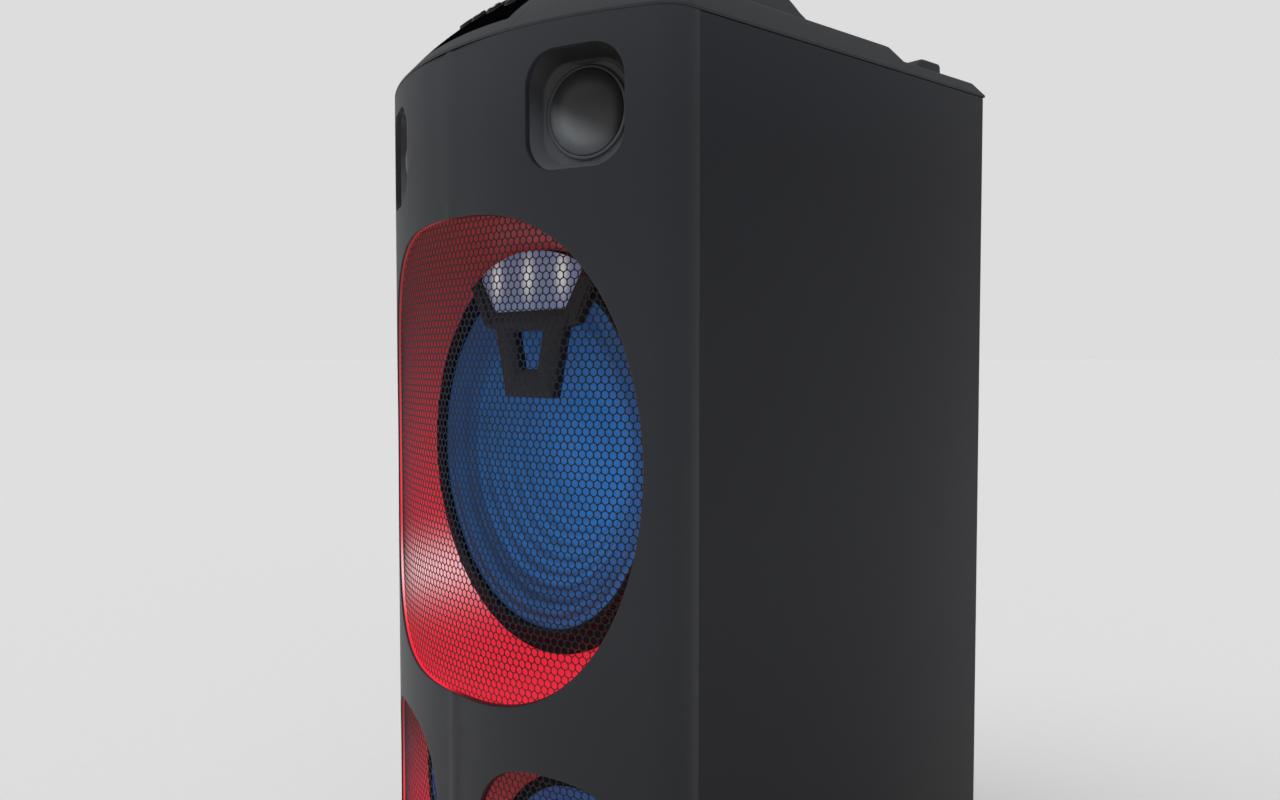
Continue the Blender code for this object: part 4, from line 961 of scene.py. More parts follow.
# ==== Tweeters ========================================================================
# Large soft domes with a satin coating, each with a slim ring round it, on the floor of a
# smooth pocket moulded into the front.
net = Net("dome_coating")
fine = net.noise(700.0, 2.0)
x, y, z = net.split(net.place())
# The dome is painted pale low down and toward the speaker's middle: a painted reflection of the floor.
low = 1.0 - ((z - pocket_cut["z"] + x.math("ABSOLUTE") * 0.55 - 0.0535) / 0.0180).ramp(-0.95, 0.20)
dome_coating = net.surface(Base_Color=net.mix(low, (0.016, 0.0155, 0.0170), (0.165, 0.180, 0.192)),
                           Roughness=fine * 0.06 + 0.34, Specular_IOR_Level=0.45, Coat_Weight=0.2,
                           Coat_Roughness=0.25)
net = Net("pocket_plastic")
fine = net.noise(900.0, 2.0)
x, y, z = net.split(net.place())
# The pocket is painted pale toward its foot and dark toward its top: painted light and shade on its walls.
low = 1.0 - ((z - pocket_cut["z"]) / 0.036).ramp(-0.8, 0.9)
pocket_plastic = net.surface(Base_Color=net.mix(low, (0.016, 0.0155, 0.0160), (0.105, 0.112, 0.125)),
                             Roughness=fine * 0.06 + 0.36, Specular_IOR_Level=0.35)
tweeter_recess, floor_round = 0.0168, 0.0020


def floor_loop(seat, drawn_in, z, count=120):
    """A round-cornered rectangle on a pocket's floor, drawn in, at a height along its axis."""
    turn = np.arange(count) * 2 * math.pi / count
    reach = edge_reach(dict(half_w=0.0300 - drawn_in, half_h=0.0310 - drawn_in, corner=0.0204), turn)
    way = np.cos(turn)[:, None] * seat["across"] + np.sin(turn)[:, None] * np.array(seat["up"], float)
    return seat["centre"] + way * reach[:, None] + seat["axis"] * z


for side, word in ((-1, "left"), (1, "right")):
    cut = dict(pocket_cut, s=side * pocket_cut["s"])
    seat = seat_on_bow(cut["s"], cut["z"], tweeter_recess)
    t = np.linspace(0, 1, 10)[:, None, None]
    wall = cut_loop(cut, 0.0, 0.0042, 120) * (1 - t) + floor_loop(seat, 0.0, 0.0010) * t
    foot = [floor_loop(seat, floor_round * math.sin(a), floor_round * (1 - math.sin(a)) - 0.0010)
            for a in np.linspace(0.2, math.pi / 2, 5)]
    ring = turned([(0.0262, -0.0010)], sides=120, **seat)
    add_piece(f"tweeter_pocket_{word}", [(np.concatenate([wall, foot, ring]), False, True)], pocket_plastic,
              slot="casing", replaces=[f"tweeter_cup_{word}"], facing=seat["axis"], sharp=60)
    profile = rounded([(0.0010, -0.0040), (0.0190, -0.0040), (0.0190, -0.0100), (0.0238, -0.0100),
                       (0.0238, -0.0016), (0.0250, -0.0016), (0.0259, 0.0002), (0.0265, 0.0009),
                       (0.0276, 0.0009), (0.0283, 0.0002), (0.0283, -0.0008),
                       (0.0258, -0.0008), (0.0258, -0.0180), (0.0240, -0.0180), (0.0240, -0.0300),
                       (0.0010, -0.0300)], 0.0006, closed=True)
    add_turned(f"tweeter_ring_{word}", profile, seat, pocket_plastic, closed=True, slot="trim",
               replaces=[f"tweeter_motor_{word}"], sharp=60)
    cap = cap_profile(0.0255, 0.0106, 0.0112, 28)[::-1]
    profile = np.concatenate([cap, [(0.0254, 0.0001), (0.0218, 0.0), (0.0218, -0.0080), (0.0206, -0.0080),
                                    (0.0206, -0.0004), (0.0, 0.0100)]])
    add_turned(f"tweeter_cap_{word}", profile, seat, dome_coating, body=f"tweeter_moving_{word}", slot="dome",
               replaces=[f"tweeter_dome_{word}"], sharp=60)

# ==== Lid =============================================================================
# A moulded cover with a sloping rim all round.  Its middle swells into the console, which
# falls away at its flanks and behind, down to a low deck that carries the handle.
lid_edge = 0.665
seam_x = 0.0606
frame_back_y = 0.041
deck_y = 0.0824
crown_run = 0.113
cup_x, cup_front_y, cup_back_y = 0.0845, 0.0915, 0.1705


def over(d, knee, soft):
    """max(d - knee, 0) with its corner rounded by a parabola over plus or minus soft."""
    past = d - knee
    return np.where(past > soft, past, np.where(past < -soft, 0.0, (past + soft) ** 2 / (4 * soft)))


def lower_of(a, b, soft):
    """The smaller of two heights, with the crease between them rounded."""
    mix = np.clip(1 - np.abs(a - b) / soft, 0, 1)
    return np.minimum(a, b) - mix**2 * soft / 4


def front_edge_y(x):
    """The lid's front edge: the bow, then the corner's circle."""
    x = np.abs(x)
    bow = bow_centre_y - np.sqrt(bow_radius**2 - np.minimum(x, 0.16) ** 2)
    corner = corner_y - np.sqrt(np.maximum(corner_radius**2 - (x - corner_x) ** 2, 0.0))
    return np.where(x > bow_radius * math.sin(corner_heading), corner, bow)


def front_rise(d):
    """A steep rim, then a slope that eases, then levels out at the crown."""
    a = np.clip(d - 0.014, 0, 0.041)
    b = np.clip(d - 0.055, 0, 0.058)
    rim = (d - over(d, 0.014, 0.0012)) * 1.0714
    return rim + 0.93 * a - 0.115 * a * a / 0.041 + 0.70 * b - 0.35 * b * b / 0.058


def lid_height(x, y):
    """Height of the lid: the lowest of what the front, the sides and the back allow."""
    side = half_w - np.abs(x)
    front = bow_radius - np.hypot(x, y - bow_centre_y)
    ox, oy = np.abs(x) - corner_x, corner_y - y
    round_part = (ox > 0) & (oy > 0) & (np.arctan2(ox, oy) > corner_heading)
    reach = corner_radius - np.hypot(ox, oy)
    side = np.where(round_part, reach, side)
    front = np.where(round_part, reach, front)
    from_side = (side - over(side, 0.015, 0.0012)) * 1.3533 + over(side, 0.055, 0.004) * 1.818
    hump = 0.0203 + over(-y, -0.0784, 0.003) * 1.4 - over(y, deck_y, 0.0008) * 1.42
    back = lower_of(0.0095 + over(hump, 0.0095, 0.0008), (back_y - y) * 1.357, 0.0010)
    rise = lower_of(lower_of(front_rise(front), from_side, 0.0016), back, 0.0012)
    return lid_edge + np.maximum(rise, 0.0)


def stations(*spans):
    """Sorted values: each span is (low, high, steps)."""
    return np.unique(np.round(np.concatenate([np.linspace(a, b, n + 1) for a, b, n in spans]), 7))


def height_sheet(name, x, front_d, back, keep, z_of, skirt_z, material, **ride):
    """A sheet over a plan grid, with a skirt turned down at every open edge.

    Rows start at distances front_d in from the front edge, then run to fixed y values.  keep
    says from a quad's middle whether it is there.  skirt_z gives the skirt's lower edge.
    """
    front = front_edge_y(x)[:, None] + front_d[None]
    t = np.linspace(0, 1, 26)[1:-1]
    middle = front[:, -1:] + (back[0] - front[:, -1:]) * t
    y = np.concatenate([front, middle, np.broadcast_to(back, (len(x), len(back)))], 1)
    xx = np.broadcast_to(x[:, None], y.shape)
    points = np.stack([xx, y, z_of(xx, y)], -1)
    rows, columns = y.shape
    index = np.arange(rows * columns).reshape(rows, columns)
    quads = np.stack([index[:-1, :-1], index[1:, :-1], index[1:, 1:], index[:-1, 1:]], -1).reshape(-1, 4)
    flat = points.reshape(-1, 3)
    middle = flat[quads].mean(1)
    quads = quads[keep(middle[:, 0], middle[:, 1])]
    used, quads = np.unique(quads, return_inverse=True)
    mesh = bpy.data.meshes.new(name)
    mesh.from_pydata(flat[used], [], quads.reshape(-1, 4))
    work = bmesh.new()
    work.from_mesh(mesh)
    bmesh.ops.remove_doubles(work, verts=work.verts, dist=1e-6)
    edges = [edge for edge in work.edges if edge.is_boundary]
    for last in (False, True):
        made = bmesh.ops.extrude_edge_only(work, edges=edges)["geom"]
        for vert in (one for one in made if isinstance(one, bmesh.types.BMVert)):
            vert.co.z = skirt_z(vert.co) if last else vert.co.z - 0.0004
        edges = [one for one in made if isinstance(one, bmesh.types.BMEdge)]
    bmesh.ops.recalc_face_normals(work, faces=work.faces)
    top = max(work.faces, key=lambda face: face.calc_center_median().z)
    if top.normal.z < 0:
        bmesh.ops.reverse_faces(work, faces=work.faces)
    work.to_mesh(mesh)
    work.free()
    return finish_piece(name, mesh, material, **ride)


lid_plastic = grained_plastic("lid_plastic", (0.022, 0.0235, 0.0270), (0.027, 0.0285, 0.032), 0.46)
half = stations((0, 0.0600, 20), (0.0600, seam_x + hairline, 1), (0.0620, 0.0700, 6), (0.0700, cup_x, 6),
                (cup_x, 0.1050, 9), (0.1050, 0.1150, 8), (0.1150, 0.1460, 14), (0.1460, 0.1530, 8),
                (0.1530, 0.1640, 12), (0.1640, half_w, 8))
across_x = np.concatenate([-half[:0:-1], half])
from_front = stations((0, 0.0120, 10), (0.0120, 0.0160, 8), (0.0160, 0.0500, 14), (0.0500, 0.0600, 4),
                      (0.0600, crown_run, 16))
to_back = stations((frame_back_y + hairline, 0.0740, 14), (0.0740, 0.0840, 16), (0.0840, cup_front_y, 14),
                   (cup_front_y, cup_back_y, 24), (cup_back_y, 0.1760, 4), (0.1760, 0.1810, 8),
                   (0.1810, back_y, 8))


def lid_keep(x, y):
    """Everywhere but the console frame's notch and the finger cup."""
    notch = (np.abs(x) < seam_x + hairline) & (y < frame_back_y + hairline)
    cup = (np.abs(x) < cup_x) & (y > cup_front_y) & (y < cup_back_y)
    return ~(notch | cup)


def lid_skirt(at):
    """The skirt ends at the lid's foot outside, and a little way down inside."""
    outside = at.z < lid_edge + 0.0002
    return body_top + 0.0001 if outside else at.z - 0.0045


height_sheet("lid", across_x, from_front, to_back, lid_keep, lid_height, lid_skirt, lid_plastic,
             slot="casing", replaces=["top_cover"], sharp=28)

# ==== Console =========================================================================
# A separate frame of the same plastic set into the lid, around a gloss black fascia with a
# narrow display, five round keys, the volume knob and a small microphone level knob.
fascia_x, fascia_start, fascia_back_y = 0.050, 0.0095, 0.032
frame_half = stations((0, 0.0300, 8), (0.0300, fascia_x - 0.0010, 6), (fascia_x - 0.0010, fascia_x, 1),
                      (fascia_x, 0.0590, 8), (0.0590, seam_x - hairline, 3))
frame_x = np.concatenate([-frame_half[:0:-1], frame_half])
frame_d = stations((0, fascia_start, 12), (fascia_start, 0.0160, 6), (0.0160, 0.0500, 14),
                   (0.0500, 0.0600, 4), (0.0600, crown_run, 16))
frame_back = stations((fascia_back_y, frame_back_y, 6),)


def frame_keep(x, y):
    """The frame has a window for the fascia."""
    return ~((np.abs(x) < fascia_x) & (y > front_edge_y(x) + fascia_start) & (y < fascia_back_y))


height_sheet("console_rim", frame_x, frame_d, frame_back, frame_keep, lid_height, lid_skirt, lid_plastic,
             slot="casing", replaces=["console_frame"], sharp=28)

crown = lid_edge + float(front_rise(np.array(crown_run)))
net = Net("gloss_fascia")
z = net.split(net.place())[2]
smear = net.noise(9.0, 3.0)
dust = net.noise(2200.0, 1.0)
net.surface(Base_Color=net.mix(dust.ramp(0.70, 0.78), (0.0012, 0.0012, 0.0016), (0.0030, 0.0030, 0.0036)),
            Roughness=smear * 0.10 + 0.10, Specular_IOR_Level=0.0, Normal=net.bump(smear, 0.03, 0.0004),
            Coat_Weight=z.ramp(crown - 0.0050, crown - 0.0015) * 0.8, Coat_Roughness=0.05)
gloss_black = net.material
display_x, display_d = 0.027, (0.052, 0.071)
fascia_half = stations((0, display_x, 12), (display_x, 0.0485, 8), (0.0485, fascia_x - hairline, 5))
fascia_cols = np.concatenate([-fascia_half[:0:-1], fascia_half])
fascia_d = stations((fascia_start + hairline, 0.0155, 4), (0.0155, display_d[0], 16), display_d + (8,),
                    (display_d[1], crown_run, 16))


def fascia_height(x, y):
    """Just below the frame, with its edges rolled over."""
    edge = np.minimum(fascia_x - np.abs(x), np.minimum(y - front_edge_y(x) - fascia_start, fascia_back_y - y))
    return lid_height(x, y) - 0.0002 - 0.0006 * np.clip(1 - edge / 0.0012, 0, 1) ** 2


def fascia_keep(x, y):
    """The fascia has a window for the display."""
    d = y - front_edge_y(x)
    return ~((np.abs(x) < display_x) & (d > display_d[0]) & (d < display_d[1]))


height_sheet("fascia", fascia_cols, fascia_d, np.array([fascia_back_y - 0.002, fascia_back_y - 0.001,
             fascia_back_y - hairline]), fascia_keep, fascia_height, lambda at: at.z - 0.0020, gloss_black,
             slot="gloss", replaces=["control_fascia"], sharp=50)

net = Net("display_glass")
x, y, z = net.split(net.place())
column = ((x + 0.0243) / 0.0054).math("FRACT")
row = ((z - 0.7105) / 0.0014).math("FRACT")
in_bar = column.ramp(0.14, 0.18) * (1.0 - column.ramp(0.80, 0.84))
in_bar = in_bar * row.ramp(0.2, 0.26) * (1.0 - row.ramp(0.82, 0.88))
tall = ((x * 190.0).math("SINE") * 0.30 + (x * 71.0 + 1.0).math("SINE") * 0.25 + 0.55) * 0.0085 + 0.7102
lit = in_bar * (1.0 - (z - tall).ramp(-0.0002, 0.0002))
glass_noise = net.noise(40.0)
net.surface(Base_Color=net.mix(in_bar, (0.003, 0.003, 0.004), (0.010, 0.012, 0.016)),
            Roughness=glass_noise * 0.05 + 0.04, Coat_Weight=0.5, Coat_Roughness=0.03,
            Emission_Color=net.mix(lit, (0.0, 0.0, 0.0), (0.30, 0.55, 1.0)), Emission_Strength=1.0)
glass_cols = np.linspace(-display_x + hairline, display_x - hairline, 31)
height_sheet("display_glass", glass_cols, np.linspace(display_d[0] + hairline, display_d[1] - hairline, 12),
             np.array([0.0, 0.001]), lambda x, y: y - front_edge_y(x) < display_d[1] - hairline + 1e-6,
             lambda x, y: lid_height(x, y) - 0.0004, lambda at: at.z - 0.0010, net.material, slot="gloss",
             replaces=["display_window"], sharp=50)

key_plastic = grained_plastic("key_plastic", (0.0065, 0.0066, 0.0070), (0.0085, 0.0086, 0.0092), 0.36,
                              3200.0, 0.00005, shine=0.2)
net = Net("key_mark_white")
fade = net.noise(900.0)
net.surface(Base_Color=net.mix(fade, (0.55, 0.57, 0.60), (0.70, 0.72, 0.75)), Roughness=fade * 0.1 + 0.4,
            Emission_Color=net.mix(fade, (0.16, 0.20, 0.26), (0.20, 0.25, 0.32)), Emission_Strength=1.0)
mark_white = net.material
trim_ring = metal("trim_ring", (0.07, 0.072, 0.077), (0.11, 0.112, 0.118), 0.34, 1.0, 1200.0)
key_d, key_step, key_radius = 0.036, math.radians(4.4), 0.0056
slope = float((front_rise(np.array(key_d + 1e-5)) - front_rise(np.array(key_d - 1e-5))) / 2e-5)
turn = np.linspace(0, 2 * math.pi, 25)[:-1]
circle = np.column_stack([np.cos(turn), np.sin(turn)])
marks = {
    "power": [np.concatenate([0.0021 * circle[2:23], 0.0016 * circle[22:1:-1]]) @ np.array([[0, 1], [-1, 0]]),
              [(-0.0003, 0.0008), (0.0003, 0.0008), (0.0003, 0.0026), (-0.0003, 0.0026)]],
    "previous": [[(-0.0018, 0), (0.0004, -0.0015), (0.0004, 0.0015)], [(0.0009, -0.0015), (0.0015, -0.0015),
                 (0.0015, 0.0015), (0.0009, 0.0015)]],
    "play": [[(-0.0012, -0.0018), (0.0019, 0), (-0.0012, 0.0018)]],
    "next": [[(0.0018, 0), (-0.0004, 0.0015), (-0.0004, -0.0015)], [(-0.0009, -0.0015), (-0.0015, -0.0015),
             (-0.0015, 0.0015), (-0.0009, 0.0015)]],
    "light": [0.0011 * circle] + [np.array([(0.0016, -0.0002), (0.0023, -0.0002), (0.0023, 0.0002),
              (0.0016, 0.0002)]) @ np.array([[math.cos(a), math.sin(a)], [-math.sin(a), math.cos(a)]])
              for a in np.arange(8) * math.pi / 4],
}
for i, (name, shapes) in enumerate(marks.items()):
    heading = (i - 2) * key_step
    reach = bow_radius - key_d
    x, y = reach * math.sin(heading), bow_centre_y - reach * math.cos(heading)
    at = np.array([x, y, lid_edge + float(front_rise(np.array(key_d)))])
    normal = np.array([slope * math.sin(heading), -slope * math.cos(heading), 1.0])
    normal /= np.linalg.norm(normal)
    across = np.array([math.cos(heading), math.sin(heading), 0.0])
    seat = dict(centre=at, across=across, up=np.cross(normal, across), axis=normal)
    body = "light_key" if name == "light" else f"{name}_key"
    r = key_radius
    face = [(r * t, 0.0016 - 0.0003 * (1 - t * t)) for t in np.linspace(0, 0.85, 8)]
    profile = face + [(r - 0.0004, 0.0014), (r - 0.0001, 0.0010), (r, 0.0005), (r, -0.0045), (0, -0.0045)]
    add_piece(f"key_{name}", [(turned(profile, sides=48, **seat), False, True)], key_plastic, body=body,
              slot="key", replaces=[f"button_{name}"])
    profile = rounded([(r + 0.00025, -0.0010), (r + 0.00025, 0.0001), (r + 0.0010, 0.0001),
                       (r + 0.0012, -0.0010)], 0.0002)
    add_piece(f"key_ring_{name}", [(turned(profile, sides=48, **seat), False, True)], trim_ring, slot="trim",
              facing=normal)
    for k, shape in enumerate(shapes):
        mesh = plate(shape, [], 0.0012, 0.0018, 0.00008, **seat)
        finish_piece(f"key_mark_{name}_{k}", mesh, mark_white, body=body, slot="key")


def knob(name, node, body, y, radius, height, ridges, ridge):
    """A turned knob with a ridged side, a dished top and a white pointer line.

    The radius is the profile's, plus a cosine of the angle on the side only.
    """
    profile = [(0, height - 0.0006), (radius * 0.55, height - 0.0006), (radius * 0.80, height - 0.0002),
               (radius * 0.86, height), (radius * 0.90, height - 0.0002), (radius * 0.945, height - 0.0012)]
    side = [(radius * (0.95 + 0.05 * t), height - 0.0014 - (height - 0.0032) * t) for t in np.linspace(0, 1, 6)]
    profile += side + [(radius, 0.0016), (radius, 0.0006), (0.0030, 0.0006), (0.0030, -0.0080), (0, -0.0080)]
    sides = ridges * 8
    grid = turned(profile, (0, y, crown), sides=sides)
    turn = np.arange(sides) * 2 * math.pi / sides
    wave = ridge * (np.cos(turn * ridges) - 1) / 2
    on_side = np.zeros(len(profile))
    on_side[6:12] = [0.6, 1, 1, 1, 1, 0.6]
    grid[:, :, 0] += on_side[:, None] * wave * np.cos(turn)
    grid[:, :, 1] += on_side[:, None] * wave * np.sin(turn)
    add_piece(name, [(grid, False, True)], knob_plastic, body=body, slot="trim", replaces=[node])
    pointer = rounded([(-0.0005, radius * 0.50), (0.0005, radius * 0.50), (0.0005, radius * 0.82),
                       (-0.0005, radius * 0.82)], 0.0004, 3, closed=True)
    mesh = plate(pointer[:, ::-1] * [-1, 1] @ np.array([[0, -1], [1, 0]]), [], height - 0.0009, height - 0.00020,
                 0.0001, (0, y, crown), (1, 0, 0), (0, 1, 0), (0, 0, 1))
    finish_piece(f"{name}_pointer", mesh, mark_white, body=body, slot="trim")


knob_plastic = grained_plastic("knob_plastic", (0.016, 0.0165, 0.018), (0.024, 0.0245, 0.027), 0.34)
knob("volume_dial", "volume_knob", "volume", -0.030, 0.0220, 0.0125, 40, 0.0007)
knob("mic_dial", "mic_knob", "mic_level", 0.014, 0.0085, 0.0100, 18, 0.0005)
for name, y, r in (("volume", -0.030, 0.0226), ("mic", 0.014, 0.0091)):
    profile = rounded([(r, -0.0006), (r, 0.0004), (r + 0.0012, 0.0005), (r + 0.0016, -0.0006)], 0.0002)
    add_piece(f"{name}_ring", [(turned(profile, (0, y, crown), sides=96), False, True)], trim_ring, slot="trim",
              facing=(0, 0, 1))
dress("control_board", circuit)

# ==== Handle ==========================================================================
# A moulded bar bolted across the rear of the lid over a tub that makes room for fingers.
# Its front face slopes back and its ends are rounded over.
foot_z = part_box("carry_handle")[0][2]
bar_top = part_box("carry_handle")[1][2]
bar_half, end_round = 0.136, 0.003
ends = bar_half - end_round * (1 - np.sin(np.linspace(0, math.pi / 2, 6)))
x = np.concatenate([ends[::-1], np.linspace(0.130, 0.094, 8), np.linspace(0.092, 0.080, 9),
                    np.linspace(0.07, 0, 5)])
x = np.concatenate([x, -x[-2::-1]])
past_end = np.maximum(np.abs(x) - bar_half + end_round, 0)
inset = np.maximum(end_round - np.sqrt(np.maximum(end_round**2 - past_end**2, 0)), 0)
t = np.clip((np.abs(x) - 0.080) / 0.012, 0, 1)
arch = 0.0042 * (1 - t**2 * (3 - 2 * t))
loops = []
for at, trim, lift in zip(x, inset, arch):
    low, high = foot_z + lift + trim * 0.3, bar_top - trim
    shape = [(0.1290 + trim, low), (0.1712 - trim, low), (0.1712 - trim, high), (0.1458 + trim, high)]
    edge = rounded(shape, [0.0015, 0.0015, 0.0030, 0.0040], 6, closed=True)
    loops.append(np.column_stack([np.full(len(edge), at), edge]))
grid = np.stack(loops)
caps = [np.broadcast_to(grid[i].mean(0), grid[:1].shape) for i in (0, -1)]
add_piece("handle_bar", [(np.concatenate([caps[0], grid, caps[1]]), False, True)], lid_plastic, slot="casing",
          replaces=["carry_handle"], sharp=50)

tub_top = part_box("handle_cup")[1][2]
tub_low = tub_top - 0.038
levels = [(0.0026, tub_top + 0.0003, 0.004), (0.0010, tub_top + 0.0004, 0.004), (0.0, tub_top - 0.0004, 0.004)]
levels += [(-0.004 * t, tub_top - 0.0004 - 0.0316 * t, 0.006) for t in np.linspace(0.1, 1, 8)]
levels += [(-0.004 - 0.004 * (1 - math.cos(a)), tub_low + 0.004 * (1 - math.sin(a)), 0.008)
           for a in np.linspace(0.2, math.pi / 2, 6)]
loops = []
for grow, z, corner in levels:
    edge = rounded([(-0.082 - grow, 0.094 - grow), (0.082 + grow, 0.094 - grow), (0.082 + grow, 0.168 + grow),
                    (-0.082 - grow, 0.168 + grow)], corner, 6, closed=True)
    loops.append(np.column_stack([edge, np.full(len(edge), z)]))
grid = np.stack(loops)
pole = np.broadcast_to([[(0.0, 0.131, tub_low)]], (1, grid.shape[1], 3))
add_piece("finger_tub", [(np.concatenate([grid, pole]), False, True)], frame_plastic, slot="trim",
          replaces=["handle_cup"], facing=(0, 0, 1), sharp=50)

# ==== Back ============================================================================
# A textured black board let into the cabinet and screwed on, with a plate of sockets, a
# recessed mains inlet, and a flared bass port below them.
net = Net("vinyl_wrap")
pebble = net.add("TexVoronoi", {"feature": "SMOOTH_F1"}, Vector=net.place(), Scale=620.0)
fine = net.noise(1800.0, 2.0)
net.surface(Base_Color=net.mix(pebble, (0.020, 0.0205, 0.022), (0.011, 0.011, 0.012)),
            Roughness=fine * 0.15 + 0.55, Normal=net.bump(pebble + fine * 0.3, 0.5, 0.0003))
dress("rear_panel", net.material)
dress("socket_plate", frame_plastic)
dress("power_inlet", frame_plastic)
dress("amplifier_board", circuit)

net = Net("raw_fibreboard")
fibre = net.noise(220.0, 4.0)
flake = net.noise(1400.0, 2.0)
net.surface(Base_Color=net.mix((fibre * 0.6 + flake * 0.4).ramp(0.3, 0.7),
                               (0.20, 0.12, 0.06), (0.42, 0.29, 0.17)),
            Roughness=flake * 0.1 + 0.80, Normal=net.bump(flake, 0.4, 0.0004))
dress("baffle_board", net.material)

port_low, port_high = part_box("port_tube")
port_at = (0.0, 0.0, (port_low[2] + port_high[2]) / 2)
lip_y = port_high[1]
turns = np.linspace(0, math.pi / 2, 10)
flare = [(0.0285 + 0.0075 * (1 - math.cos(a)), lip_y - 0.0002 - 0.010 * (1 - math.sin(a))) for a in turns]
profile = [(0.0285, port_low[1])] + flare
profile += [(0.0366, lip_y - 0.0002), (0.0370, lip_y - 0.0006), (0.0370, 0.1845), (0.0310, 0.1845),
            (0.0310, port_low[1])]
back = dict(across=(-1, 0, 0), up=(0, 0, 1), axis=(0, 1, 0))
add_piece("bass_port", [(turned(profile, port_at, sides=96, **back), True, True)], frame_plastic, slot="trim",
          replaces=["port_tube"], sharp=60)

screw_steel = metal("black_screw", (0.045, 0.045, 0.048), (0.085, 0.085, 0.09), 0.35, 0.9, 1500.0)


def screw(name, x, y, z, radius):
    """A pan-head screw facing back, with a cross recess cut as a dip along two lines.

    The head is a cap whose height drops where a point is near either axis of the cross.
    """
    r = radius * np.concatenate([np.linspace(0, 0.62, 9), np.linspace(0.68, 1, 6)])
    turn = np.arange(48) * 2 * math.pi / 48
    a, b = r[:, None] * np.cos(turn), r[:, None] * np.sin(turn)
    height = 0.42 * radius * np.sqrt(np.maximum(1 - (r / radius) ** 2 * 0.98, 0.0))[:, None]
    slot = np.minimum(np.abs(a), np.abs(b)) < 0.14 * radius
    height = height - 0.26 * radius * (slot & (r[:, None] < 0.55 * radius))
    head = np.stack([x - a, y + height, z + b], -1)
    foot = np.stack([x - a[-1], np.full(48, y - 0.0006), z + b[-1]], -1)
    add_piece(name, [(np.concatenate([head, foot[None]]), False, True)], screw_steel, slot="steel",
              facing=(0, 1, 0), sharp=30)


panel_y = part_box("rear_panel")[1][1]
plate_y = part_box("socket_plate")[1][1]
places = [(x, z) for x in (-0.147, 0.147) for z in (0.052, 0.200, 0.350, 0.500, 0.643)]
places += [(x, z) for x in (-0.050, 0.050) for z in (0.052, 0.643)]
for i, (x, z) in enumerate(places):
    screw(f"panel_screw_{i + 1}", x, panel_y, z, 0.0036)
for i, (x, z) in enumerate([(x, z) for x in (-0.054, 0.054) for z in (0.306, 0.414)]):
    screw(f"plate_screw_{i + 1}", x, plate_y, z, 0.0026)
port_screws = 0.0334
for i, turn in enumerate(np.arange(4) * math.pi / 2 + math.pi / 4):
    screw(f"port_screw_{i + 1}", port_screws * math.cos(turn), lip_y - 0.0011,
          port_at[2] + port_screws * math.sin(turn), 0.0018)

bright = metal("nickel", (0.55, 0.55, 0.56), (0.68, 0.68, 0.69), 0.22, 1.0, 900.0)
jack_x, jack_z = {"left": -0.036, "right": -0.012}, 0.393
for word, x in jack_x.items():
    profile = rounded([(0.0034, plate_y - 0.010), (0.0034, plate_y + 0.0010), (0.0040, plate_y + 0.0016),
                       (0.0056, plate_y + 0.0016), (0.0060, plate_y + 0.0012),
                       (0.0060, plate_y - 0.0002)], 0.0003)
    add_piece(f"jack_nut_{word}", [(turned(profile, (x, 0.0, jack_z), sides=48, **back), False, True)],
              bright, slot="steel", facing=(0, 1, 0), sharp=60)
    profile = [(0.0, plate_y - 0.0095), (0.0035, plate_y - 0.0095), (0.0035, plate_y - 0.0085)]
    add_piece(f"jack_floor_{word}", [(turned(profile, (x, 0.0, jack_z), sides=48, **back), False, True)],
              knob_plastic, slot="trim", facing=(0, 1, 0))

def liner(name, loops, material, slot):
    """A sunk lining: upright loops joined in turn, with a pole to close its floor."""
    loops = np.stack([upright(edge, y) for edge, y in loops])
    pole = np.broadcast_to(loops[-1].mean(0), (1,) + loops[-1].shape)
    add_piece(name, [(np.concatenate([loops, pole]), False, True)], material, slot=slot,
              facing=(0, 1, 0), sharp=50)


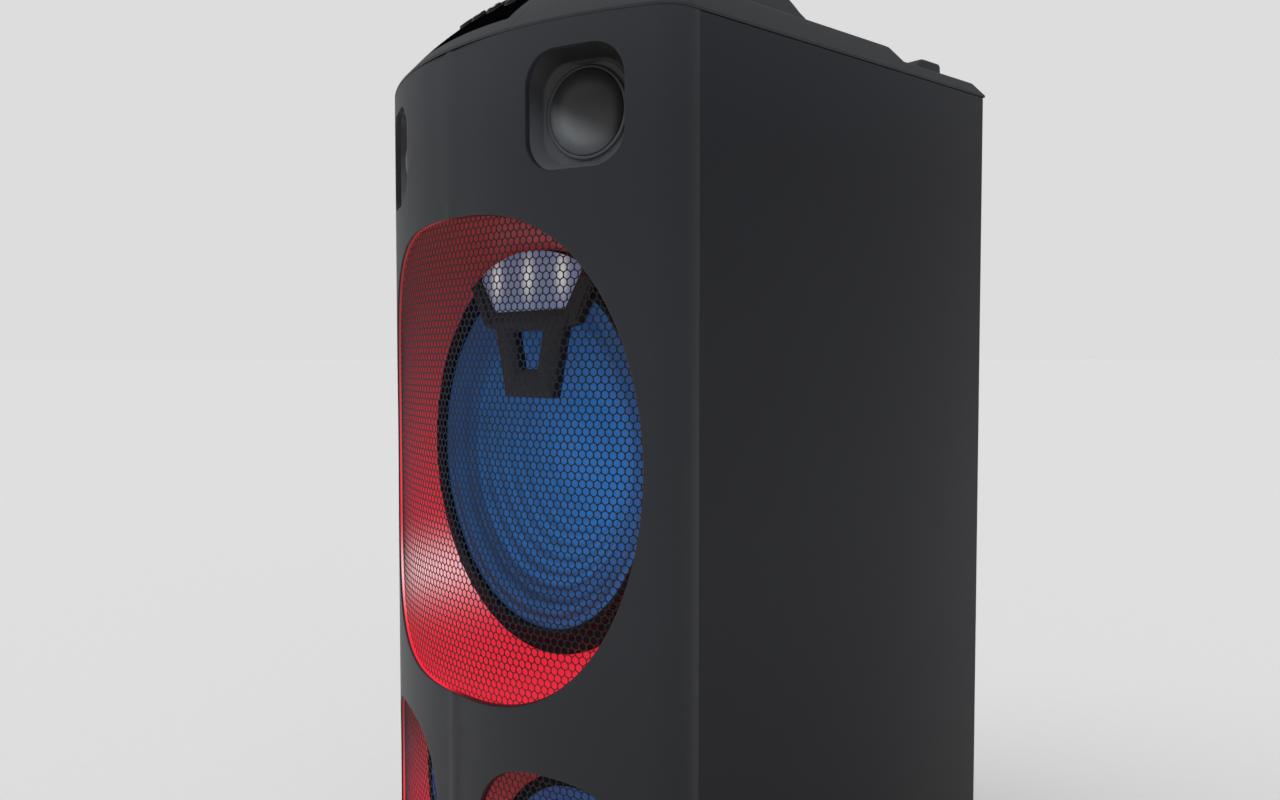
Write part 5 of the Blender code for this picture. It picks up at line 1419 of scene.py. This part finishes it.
slot_loop = rectangle_loop(0.0222, 0.0368, 0.3897, 0.3963, 0.0006)
slot_rim = rectangle_loop(0.0208, 0.0382, 0.3883, 0.3977, 0.0012)
liner("memory_slot_liner", [(slot_rim, plate_y - 0.0002), (slot_rim, plate_y + 0.0006),
                            (slot_loop, plate_y + 0.0006), (slot_loop, plate_y - 0.006)], bright, "steel")
inlet_low, inlet_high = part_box("power_inlet")
inlet_z = (inlet_low[2] + inlet_high[2]) / 2
outer = rectangle_loop(-0.0168, 0.0168, inlet_z - 0.0138, inlet_z + 0.0138, 0.0020)
inner = rectangle_loop(-0.0112, 0.0112, inlet_z - 0.0082, inlet_z + 0.0082, 0.0030)
liner("inlet_liner", [(outer, plate_y - 0.0002), (outer, plate_y + 0.0010), (inner, plate_y + 0.0014),
                      (inner, inlet_low[1] + 0.0085)], knob_plastic, "trim")
for side, word in ((-1, "left"), (1, "right")):
    profile = [(0.0, inlet_high[1] - 0.0045), (0.0008, inlet_high[1] - 0.0047),
               (0.00115, inlet_high[1] - 0.0055), (0.00115, inlet_low[1] + 0.0080)]
    grid = turned(profile, (side * 0.0043, 0.0, inlet_z), sides=24, **back)
    add_piece(f"inlet_pin_{word}", [(grid, False, True)], bright, slot="steel", facing=(0, 1, 0))

net = Net("printed_white")
wear = net.noise(1300.0, 2.0)
net.surface(Base_Color=net.mix(wear, (0.42, 0.42, 0.43), (0.55, 0.55, 0.56)), Roughness=wear * 0.1 + 0.5)
print_white = net.material
ink = dict(low=0.0, high=0.00012, soften=0.00003, centre=(0, plate_y, 0), across=(1, 0, 0), up=(0, 0, 1),
           axis=(0, 1, 0))
for word, x in jack_x.items():
    stem = rounded([(x - 0.0010, 0.4035), (x + 0.0010, 0.4035), (x + 0.0010, 0.4075), (x - 0.0010, 0.4075)],
                   0.0009, 4, closed=True)
    finish_piece(f"jack_mark_{word}", plate(stem, [], **ink), print_white, slot="trim")
frame_loop = rectangle_loop(-0.0565, 0.0565, 0.3030, 0.4170, 0.0040)
inside = rectangle_loop(-0.0560, 0.0560, 0.3035, 0.4165, 0.0036)
finish_piece("socket_outline", plate(frame_loop, [inside], **ink), print_white, slot="trim")
